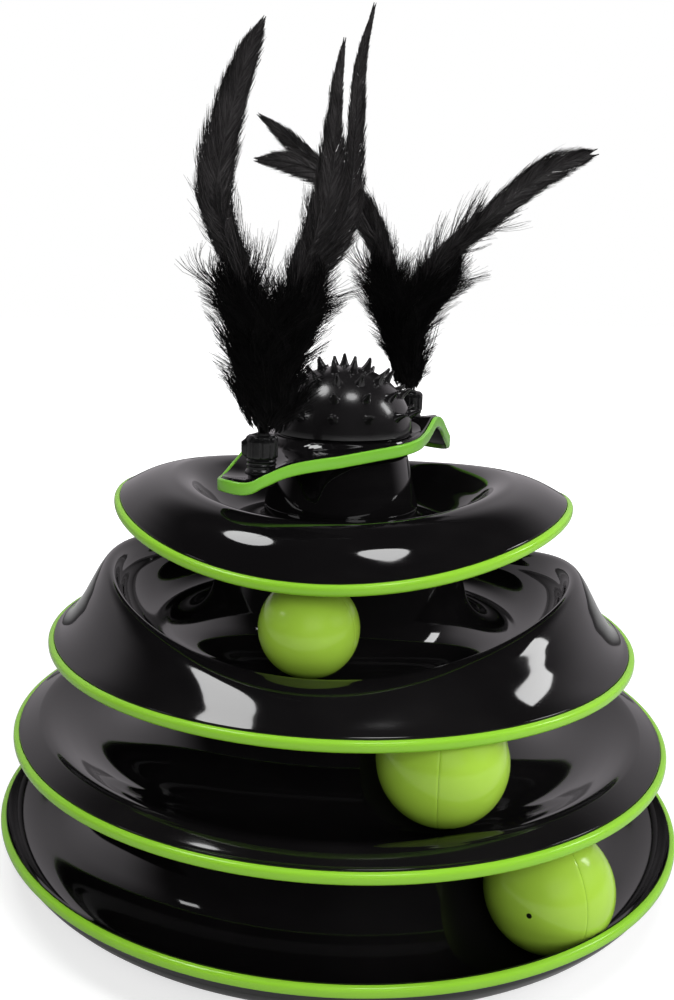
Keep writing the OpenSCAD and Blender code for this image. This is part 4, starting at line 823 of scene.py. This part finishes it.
def tuft(side, outline, seed, groups, wild):
    """Bunches of down: each strand climbs and moves out through the tuft's outline, and wavers."""
    rng = np.random.default_rng(seed)
    base = socket_place(side) + [0, 0, NUT_TOP + FERRULE_PROUD]
    each, steps = 20, 5
    top = outline[-3, 0]
    start = top * rng.uniform(0, 0.9, (groups, 1)) ** 0.8
    climb = rng.uniform(7, 17, (groups, 1))
    inner = rng.uniform(0, 0.8, (groups, 1)) ** 0.7
    far = (rng.uniform(0, 1, (groups, 1)) > 0.78) * rng.uniform(0.3, 1, (groups, 1))
    outer = inner + rng.uniform(0.1, 0.42, (groups, 1)) + wild * far
    turn = rng.uniform(0, 2 * np.pi, (groups, 1))
    start *= 0.66 + 0.34 * np.abs(inner * np.cos(turn))
    share = np.linspace(0, 1, steps)
    strand = (groups, each, 1)
    z = ((start + rng.normal(0, 0.8, (groups, each)))[..., None]
         + climb[..., None] * share * rng.uniform(0.55, 1.15, strand))
    ring = (inner[..., None] + (outer - inner)[..., None] * share ** 1.3
            + rng.normal(0, 0.03, strand))
    angle = (turn[..., None] + rng.normal(0, 0.08, strand)
             + rng.normal(0, 0.3, (groups, 1, 1)) * share)
    z = np.maximum(z, 0.1)
    left, right, deep = (np.interp(z, outline[:, 0], outline[:, i]) for i in (1, 2, 3))
    x = (left + right) / 2 + ring * (right - left) / 2 * np.cos(angle)
    line = np.stack([x, ring * deep * np.sin(angle), z], -1)
    line = line + rng.normal(0, 0.28, line.shape) * share[:, None]
    line = line.reshape(-1, steps, 3) + base
    width = np.linspace(0.25, 0.08, steps)
    return strands(line, rng.normal(0, 1, (len(line), 1, 3)), width, width * 0.8)


def quills(side, seed, count):
    """The thin shafts that carry the down."""
    rng = np.random.default_rng(seed)
    base = socket_place(side) + [0, 0, NUT_TOP + FERRULE_PROUD - 1]
    steps = 16
    share = np.linspace(0, 1, steps)[None, :, None]
    end = np.stack([rng.uniform(-11, 12, count), rng.uniform(-6, 6, count), rng.uniform(30, 52, count)], -1)
    bow = np.stack([0.3 * end[:, 0], 0.3 * end[:, 1], 0 * end[:, 2]], -1)
    line = base + end[:, None] * share + bow[:, None] * np.sin(np.pi * share) * 0.6
    width = np.linspace(0.45, 0.12, steps)
    return strands(line, BACK, width, width)


# Finishes

class Value:
    """A number that varies over a surface: an expression on it adds Math nodes."""

    def __init__(self, finish, link):
        self.finish = finish
        self.link = link

    def joined_by(self, operation, first, second):
        """The result of a Math node on two numbers."""
        node = self.finish.node("ShaderNodeMath", {"operation": operation}, {0: first, 1: second})
        return Value(self.finish, node.outputs[0])

    def __add__(self, other):
        return self.joined_by("ADD", self, other)

    def __radd__(self, other):
        return self.joined_by("ADD", other, self)

    def __sub__(self, other):
        return self.joined_by("SUBTRACT", self, other)

    def __rsub__(self, other):
        return self.joined_by("SUBTRACT", other, self)

    def __mul__(self, other):
        return self.joined_by("MULTIPLY", self, other)

    def __rmul__(self, other):
        return self.joined_by("MULTIPLY", other, self)


class Finish:
    """A material with one main shader, whose inputs are fed by name."""

    def __init__(self, name, **constants):
        self.material = bpy.data.materials.new(name)
        self.material.use_nodes = True
        self.tree = self.material.node_tree
        self.shader = self.tree.nodes["Principled BSDF"]
        for socket, value in constants.items():
            self.shader.inputs[socket.replace("_", " ")].default_value = value
        self.place = self.node("ShaderNodeTexCoord").outputs["Object"]

    def node(self, kind, settings=None, inputs=None):
        """A node of that type, with its settings made first and then its sockets fed."""
        node = self.tree.nodes.new(kind)
        for name, value in (settings or {}).items():
            setattr(node, name, value)
        for name, value in (inputs or {}).items():
            self.feed(node.inputs[name], value)
        return node

    def feed(self, socket, value):
        """Links or sets one socket."""
        if isinstance(value, Value):
            self.tree.links.new(value.link, socket)
        elif isinstance(value, bpy.types.NodeSocket):
            self.tree.links.new(value, socket)
        else:
            socket.default_value = value

    def noise(self, scale, detail=3.0, roughness=0.5, stretch=(1, 1, 1)):
        """Cloudy noise from 0 to 1 on the object's own coordinates."""
        place = self.node("ShaderNodeMapping", None, {"Vector": self.place, "Scale": stretch})
        node = self.node("ShaderNodeTexNoise", None, {"Vector": place.outputs[0], "Scale": scale,
                                                      "Detail": detail, "Roughness": roughness})
        return Value(self, node.outputs["Fac"])

    def step(self, value, low, high):
        """0 at low and before it, 1 at high and past it, smooth between; high may be the lesser."""
        node = self.node("ShaderNodeMapRange", {"interpolation_type": "SMOOTHSTEP"},
                         {"Value": value, "From Min": low, "From Max": high})
        return Value(self, node.outputs[0])

    def underneath(self):
        """1 where the surface faces down, 0 elsewhere."""
        normal = self.node("ShaderNodeNewGeometry").outputs["Normal"]
        way = self.node("ShaderNodeSeparateXYZ", None, {0: normal})
        return self.step(Value(self, way.outputs["Z"]), -0.2, -0.5)

    def mixed(self, share, first, second):
        """A colour between two, as a share says."""
        node = self.node("ShaderNodeMix", {"data_type": "RGBA"}, {0: share, 6: first, 7: second})
        return node.outputs[2]

    def distance(self, place):
        """How far the surface point lies from a place."""
        node = self.node("ShaderNodeVectorMath", {"operation": "DISTANCE"}, {0: self.place, 1: place})
        return Value(self, node.outputs["Value"])

    def bump(self, height, strength, distance):
        """Gives the surface the relief of a height."""
        node = self.node("ShaderNodeBump", None, {"Strength": strength, "Distance": distance,
                                                  "Height": height})
        self.feed(self.shader.inputs["Normal"], node.outputs[0])

    def set(self, **links):
        """Feeds the main shader's sockets."""
        for name, value in links.items():
            self.feed(self.shader.inputs[name.replace("_", " ")], value)


def colour(red, green, blue):
    """A colour with full alpha."""
    return (red, green, blue, 1.0)


def gloss_black(name, base, dusty, rough, haze_rough, satin=0.0):
    """Moulded gloss plastic: faint sink marks, wiping haze, dust specks, and a satin underside."""
    finish = Finish(name, IOR=1.5, Coat_Roughness=0.03)
    under = finish.underneath()
    haze = finish.step(finish.noise(9, 4, 0.6), 0.35, 0.75)
    wiped = finish.step(finish.noise(60, 3, 0.5, (1, 1, 3)), 0.4, 0.8)
    speck = finish.step(finish.noise(1500, 2, 0.6), 0.76, 0.82)
    finish.set(Base_Color=finish.mixed(haze * 0.25 + wiped * 0.1 + speck * dusty, colour(*base),
                                       colour(0.016, 0.015, 0.015)),
               Roughness=rough + haze * haze_rough + wiped * 0.015 + speck * 0.15 + under * satin,
               Coat_Weight=(0.25 - speck * 0.2) * (1 - under * (satin / 0.5)))
    finish.bump(finish.noise(38, 2, 0.4), 0.04, 0.0005)
    return finish.material


def lime_plastic(name, base, deep, rough, scuff, hole_shade_spots=()):
    """Lime plastic, a little deeper in patches, with fine scuffs, and painted shade at each vent hole: a
    near-black dot for the dark inside of the hollow ball.
    """
    finish = Finish(name, IOR=1.49)
    patch = finish.step(finish.noise(16, 3, 0.5), 0.3, 0.75)
    fine = finish.noise(420, 3, 0.6)
    tone = finish.mixed(patch * 0.35 + fine * 0.2, colour(*base), colour(*deep))
    # Painted shade: each vent hole is a near-black dot in the colour, standing in for the shade inside the
    # hollow ball.
    for hole in hole_shade_spots:
        away = finish.distance(tuple(hole))
        tone = finish.mixed(finish.step(away, VENT_R * MM * 1.15, VENT_R * MM * 0.8), tone,
                            colour(0.004, 0.006, 0.002))
    finish.set(Base_Color=tone, Roughness=rough + fine * scuff + patch * 0.03)
    finish.bump(fine, 0.03, 0.0002)
    return finish.material


def barb_tones(shells, seed):
    """A number from 0 to 1 for each strand, given to all its points, with light ones rarer."""
    rng = np.random.default_rng(seed)
    return np.concatenate([np.broadcast_to(rng.uniform(0, 1, (len(points), 1)) ** 2,
                                           (len(points), points[0].size // 3)).ravel()
                           for points, _ in shells])


def satin_black(name, base, rough, grain):
    """Satin or rubbery black with a fine moulded grain."""
    finish = Finish(name, IOR=1.48)
    fine = finish.noise(900, 3, 0.6)
    patch = finish.step(finish.noise(30, 3, 0.5), 0.35, 0.7)
    finish.set(Base_Color=finish.mixed(fine * 0.4 + patch * 0.3, colour(*base),
                                       colour(*[c * 1.9 for c in base])),
               Roughness=rough + fine * 0.12 + patch * 0.05)
    finish.bump(fine, grain, 0.0004)
    return finish.material


def feather_black(name, base, light, rough, gloss):
    """Barbs: near black, each of its own tone, and a little browner in patches."""
    finish = Finish(name, IOR=1.45, Specular_IOR_Level=gloss)
    tone = Value(finish, finish.node("ShaderNodeAttribute", {"attribute_name": "tone"}).outputs["Fac"])
    fine = finish.noise(700, 3, 0.6, (1, 1, 0.2))
    patch = finish.step(finish.noise(70, 3, 0.5), 0.3, 0.7)
    share = tone * (fine * 0.5 + patch * 0.4 + 0.25)
    finish.set(Base_Color=finish.mixed(share, colour(*base), colour(*light)),
               Roughness=rough + fine * 0.2)
    return finish.material


def metal(name, base, rough):
    """Zinc-plated steel with turning marks."""
    finish = Finish(name, Metallic=1.0)
    fine = finish.noise(800, 3, 0.5, (1, 1, 8))
    patch = finish.noise(120, 3, 0.5)
    finish.set(Base_Color=finish.mixed(patch, colour(*base), colour(*[c * 0.7 for c in base])),
               Roughness=rough + fine * 0.15)
    return finish.material


def on_track(track, turn, z):
    """The centre of a ball that lies in its track at a turn."""
    return np.array([track * np.cos(np.radians(turn)), track * np.sin(np.radians(turn)), z])


def on_ball(centre, r, turn, tilt):
    """A place on a ball's surface in metres."""
    turn, tilt = np.radians([turn, tilt])
    out = np.array([np.cos(tilt) * np.cos(turn), np.cos(tilt) * np.sin(turn), np.sin(tilt)])
    return (centre + r * out) * MM


base_section, base_track, base_locator = base_tray()
middle_section, middle_locator = middle_tray(base_locator)
# Body, track, turn, floor, radius, turn of the seam, and turn and tilt of the vent hole
BALL_ROWS = (("base_ball", base_track, -51.6, BASE_FLOOR, BALL_R, 20, (-120, 3)),
             ("middle_ball", MIDDLE_TRACK, -71, MIDDLE_FLOOR, BALL_R, -12, (-12, -30)),
             ("upper_ball", UPPER_TRACK, -101.9, UPPER_FLOOR, SMALL_BALL_R, 60, (60, -30)))
BALLS = [(body, on_track(track, turn, floor_z + BALL_ROOM + r), r, seam, vent)
         for body, track, turn, floor_z, r, seam, vent in BALL_ROWS]
# Places of the vent holes on the balls, where the ball finish paints near-black dots of shade.
VENTS = [on_ball(centre, r, *vent) for _, centre, r, _, vent in BALLS]

GLOSS = ((0.0035, 0.0032, 0.0035), 0.25, 0.05, 0.04)
TRAY_BLACK = gloss_black("tray_gloss_black", *GLOSS)
ARM_BLACK = gloss_black("arm_gloss_black", *GLOSS, satin=0.5)
DOME_BLACK = gloss_black("dome_gloss_black", (0.0075, 0.007, 0.0075), 0.2, 0.2, 0.07)
CLAMP_BLACK = satin_black("clamp_satin_black", (0.0035, 0.0035, 0.0037), 0.17, 0.06)
BAND_LIME = lime_plastic("band_lime", (0.27, 0.585, 0.036), (0.225, 0.51, 0.026), 0.13, 0.05)
ARM_LIME = lime_plastic("arm_band_lime", (0.195, 0.51, 0.04), (0.15, 0.44, 0.034), 0.15, 0.05)
BALL_LIME = lime_plastic("ball_lime", (0.4, 0.64, 0.062), (0.33, 0.575, 0.048), 0.12, 0.06, VENTS)
FOOT_RUBBER = satin_black("foot_rubber", (0.02, 0.02, 0.02), 0.62, 0.3)
STEEL = metal("zinc_steel", (0.62, 0.62, 0.64), 0.28)
WASHER_WHITE = satin_black("washer_nylon", (0.42, 0.42, 0.4), 0.4, 0.1)
FERRULE_BLACK = satin_black("ferrule_black", (0.01, 0.01, 0.01), 0.4, 0.1)
DOWN_BLACK = feather_black("down_black", (0.0028, 0.0027, 0.003), (0.014, 0.013, 0.013), 0.7, 0.15)
VANE_BLACK = feather_black("vane_black", (0.0045, 0.004, 0.0043), (0.095, 0.088, 0.09), 0.36, 0.5)


# Pieces

for name, section in (("base_tray", base_section), ("middle_tray", middle_section),
                      ("upper_tray", upper_tray(middle_locator)), ("top_dish", top_dish())):
    piece(name + "_shell", [carried(section)], TRAY_BLACK, "tower", [name])
for name, rim, low in (("base_band", BASE_RIM_R, BASE_LOW), ("middle_band", MIDDLE_RIM_R, MIDDLE_LOW),
                       ("upper_band", UPPER_RIM_R, UPPER_LOW), ("dish_band", DISH_RIM_R, dish_low())):
    piece(name + "_strip", [carried(edge_band(rim, low))], BAND_LIME, "tower", [name])
piece("pedestal_shell", [pedestal()], TRAY_BLACK, "tower", ["pedestal"])
piece("collar_shell", [collar()], TRAY_BLACK, "tower", ["dome_collar"], weld=True)
piece("dome_with_spikes", [dome_shell(), dome_spikes()], DOME_BLACK, "tower", ["spiked_dome"],
      sharp=50, weld=True)
piece("arm_plate", [arm_plate(), arm_hub(), arm_pad(-1), arm_pad(1)], ARM_BLACK, "spinner",
      ["spinner_arm"])
for name, start in (("arm_band_front", SEAM_TURN + 180), ("arm_band_rear", SEAM_TURN)):
    piece(name + "_strip", [arm_band(start)], ARM_LIME, "spinner", [name])
for word, side, clamp in (("front", -1, "front_clamp"), ("rear", 1, "rear_clamp")):
    piece(word + "_socket_neck", [socket(side)], CLAMP_BLACK, "spinner",
          [word + "_socket"], weld=True)
    piece(word + "_nut_fluted", [nut(side)], CLAMP_BLACK, clamp, [word + "_nut"])
    piece(word + "_ferrule_sleeve", [ferrule(side)], FERRULE_BLACK, "spinner",
          [word + "_ferrule"], weld=True)
    first = 0 if side < 0 else 3
    for i in range(3):
        shells = feather(side, first + i)
        piece("%s_feather_%d_barbs" % (word, i + 1), shells, VANE_BLACK, "spinner",
              ["%s_feather_%d" % (word, i + 1)], sharp=0, tones=barb_tones(shells, i))
for word, side, outline in (("front", -1, FRONT_DOWN), ("rear", 1, REAR_DOWN)):
    for i in range(2):
        shells = [tuft(side, outline, 11 + i, 310, 0.6), quills(side, 21 + i, 12)]
        piece("%s_tuft_down_%d" % (word, i + 1), shells, DOWN_BLACK, "spinner",
              [word + "_tuft"], sharp=0, tones=barb_tones(shells, i))

for body, centre, r, seam, _ in BALLS:
    for word, side in (("left", -1), ("right", 1)):
        piece("%s_%s_shell" % (body, word), [half_ball(centre, r, seam, side)], BALL_LIME, body,
              ["%s_%s" % (body, word)])
for node, finish in (("dome_screw", STEEL), ("screw_washer", STEEL), ("slip_washer", WASHER_WHITE),
                     ("rubber_feet", FOOT_RUBBER)):
    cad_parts[node].data.materials.clear()
    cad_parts[node].data.materials.append(finish)


# Studio

class Sky(Finish):
    """The world round the object, whose level varies with the direction."""

    def __init__(self, name):
        self.world = bpy.data.worlds.new(name)
        self.world.use_nodes = True
        self.tree = self.world.node_tree
        self.shader = self.tree.nodes["Background"]
        self.place = self.node("ShaderNodeTexCoord").outputs["Generated"]

    def part(self, name):
        """One component of the direction."""
        return Value(self, self.node("ShaderNodeSeparateXYZ", None, {0: self.place}).outputs[name])


def floor_finish():
    """A matt white floor that glows for the camera, more so away from the object."""
    finish = Finish("floor_white", Roughness=0.9, Specular_IOR_Level=0.0)
    seen = Value(finish, finish.node("ShaderNodeLightPath").outputs["Is Camera Ray"])
    finish.set(Base_Color=colour(0.5, 0.5, 0.5), Emission_Color=colour(1, 1, 1),
               Emission_Strength=seen * (finish.step(finish.distance((0, 0, 0)), 0.15, 0.6) * 0.6 + 0.65))
    return finish.material


floor_mesh = bpy.data.meshes.new("floor")
floor_mesh.from_pydata([(-4, -4, 0), (4, -4, 0), (4, 4, 0), (-4, 4, 0)], [], [(0, 1, 2, 3)])
floor_mesh.materials.append(floor_finish())
floor = bpy.data.objects.new("floor", floor_mesh)
bpy.context.scene.collection.objects.link(floor)

sky = Sky("studio")
bpy.context.scene.world = sky.world
rays = sky.node("ShaderNodeLightPath").outputs
seen = Value(sky, rays["Is Camera Ray"])
mirrored = Value(sky, rays["Is Glossy Ray"]) + Value(sky, rays["Is Transmission Ray"])
low_back = (1 - sky.step(sky.part("Z"), 0.45, 0.75)) * sky.step(sky.part("Y"), -0.1, 0.5)
sky.set(Color=sky.mixed(seen, colour(1, 0.94, 0.99), colour(1, 1, 1)),
        Strength=seen + (1 - seen) * (low_back * (mirrored * 0.04 + 0.4) + 0.02))


def softbox(name, heading, distance, width, height, power, glossy=True, shape="RECTANGLE"):
    """A flat lamp in one direction from the trays, which it faces, in metres and watts."""
    data = bpy.data.lights.new(name, "AREA")
    data.shape = shape
    data.size, data.size_y, data.energy = width, height, power
    lamp = bpy.data.objects.new(name, data)
    bpy.context.scene.collection.objects.link(lamp)
    heading = mathutils.Vector(heading).normalized()
    lamp.location = heading * distance + mathutils.Vector((0, 0, 0.1))
    lamp.rotation_euler = (-heading).to_track_quat("-Z", "Y").to_euler()
    lamp.visible_glossy = glossy


softbox("left_above", (-0.375, 0.06, 0.9), 1.1, 0.4, 0.24, 2.0, shape="ELLIPSE")
softbox("front_above", (0.16, -0.27, 0.95), 1.1, 0.28, 0.24, 1.6, shape="ELLIPSE")
softbox("right_tall", (0.8, 0.0, 0.56), 1.1, 0.17, 0.3, 1.5)
softbox("left_low", (-0.83, -0.24, 0.5), 1.1, 0.18, 0.06, 0.2)
softbox("fill_front", (0.15, -1, 0.45), 1.4, 1.0, 0.8, 9.5, False)
softbox("fill_right", (1, -0.35, 0.55), 1.3, 0.8, 0.8, 9, False)
softbox("fill_left", (-1, -0.3, 0.6), 1.3, 0.8, 0.8, 2, False)
softbox("fill_top", (0, 0.2, 1), 1.5, 1.0, 1.0, 9, False)

# The camera as it was solved from the edge bands of the four trays in the photo
CAMERA_AT, CAMERA_PITCH, CAMERA_ROLL = (-0.0270, -0.41407, 0.22484), 78.01, 0.81
camera_data = bpy.data.cameras.new("camera")
camera_data.lens = 40.04
camera_data.sensor_width = 36
camera_data.shift_x = 0.0673
camera_data.clip_start = 0.01
camera = bpy.data.objects.new("camera", camera_data)
bpy.context.scene.collection.objects.link(camera)
camera.location = CAMERA_AT
camera.rotation_euler = (mathutils.Matrix.Rotation(np.radians(CAMERA_PITCH), 3, "X")
                         @ mathutils.Matrix.Rotation(np.radians(CAMERA_ROLL), 3, "Z")).to_euler()
bpy.context.scene.camera = camera
bpy.context.scene.view_settings.view_transform = "Standard"
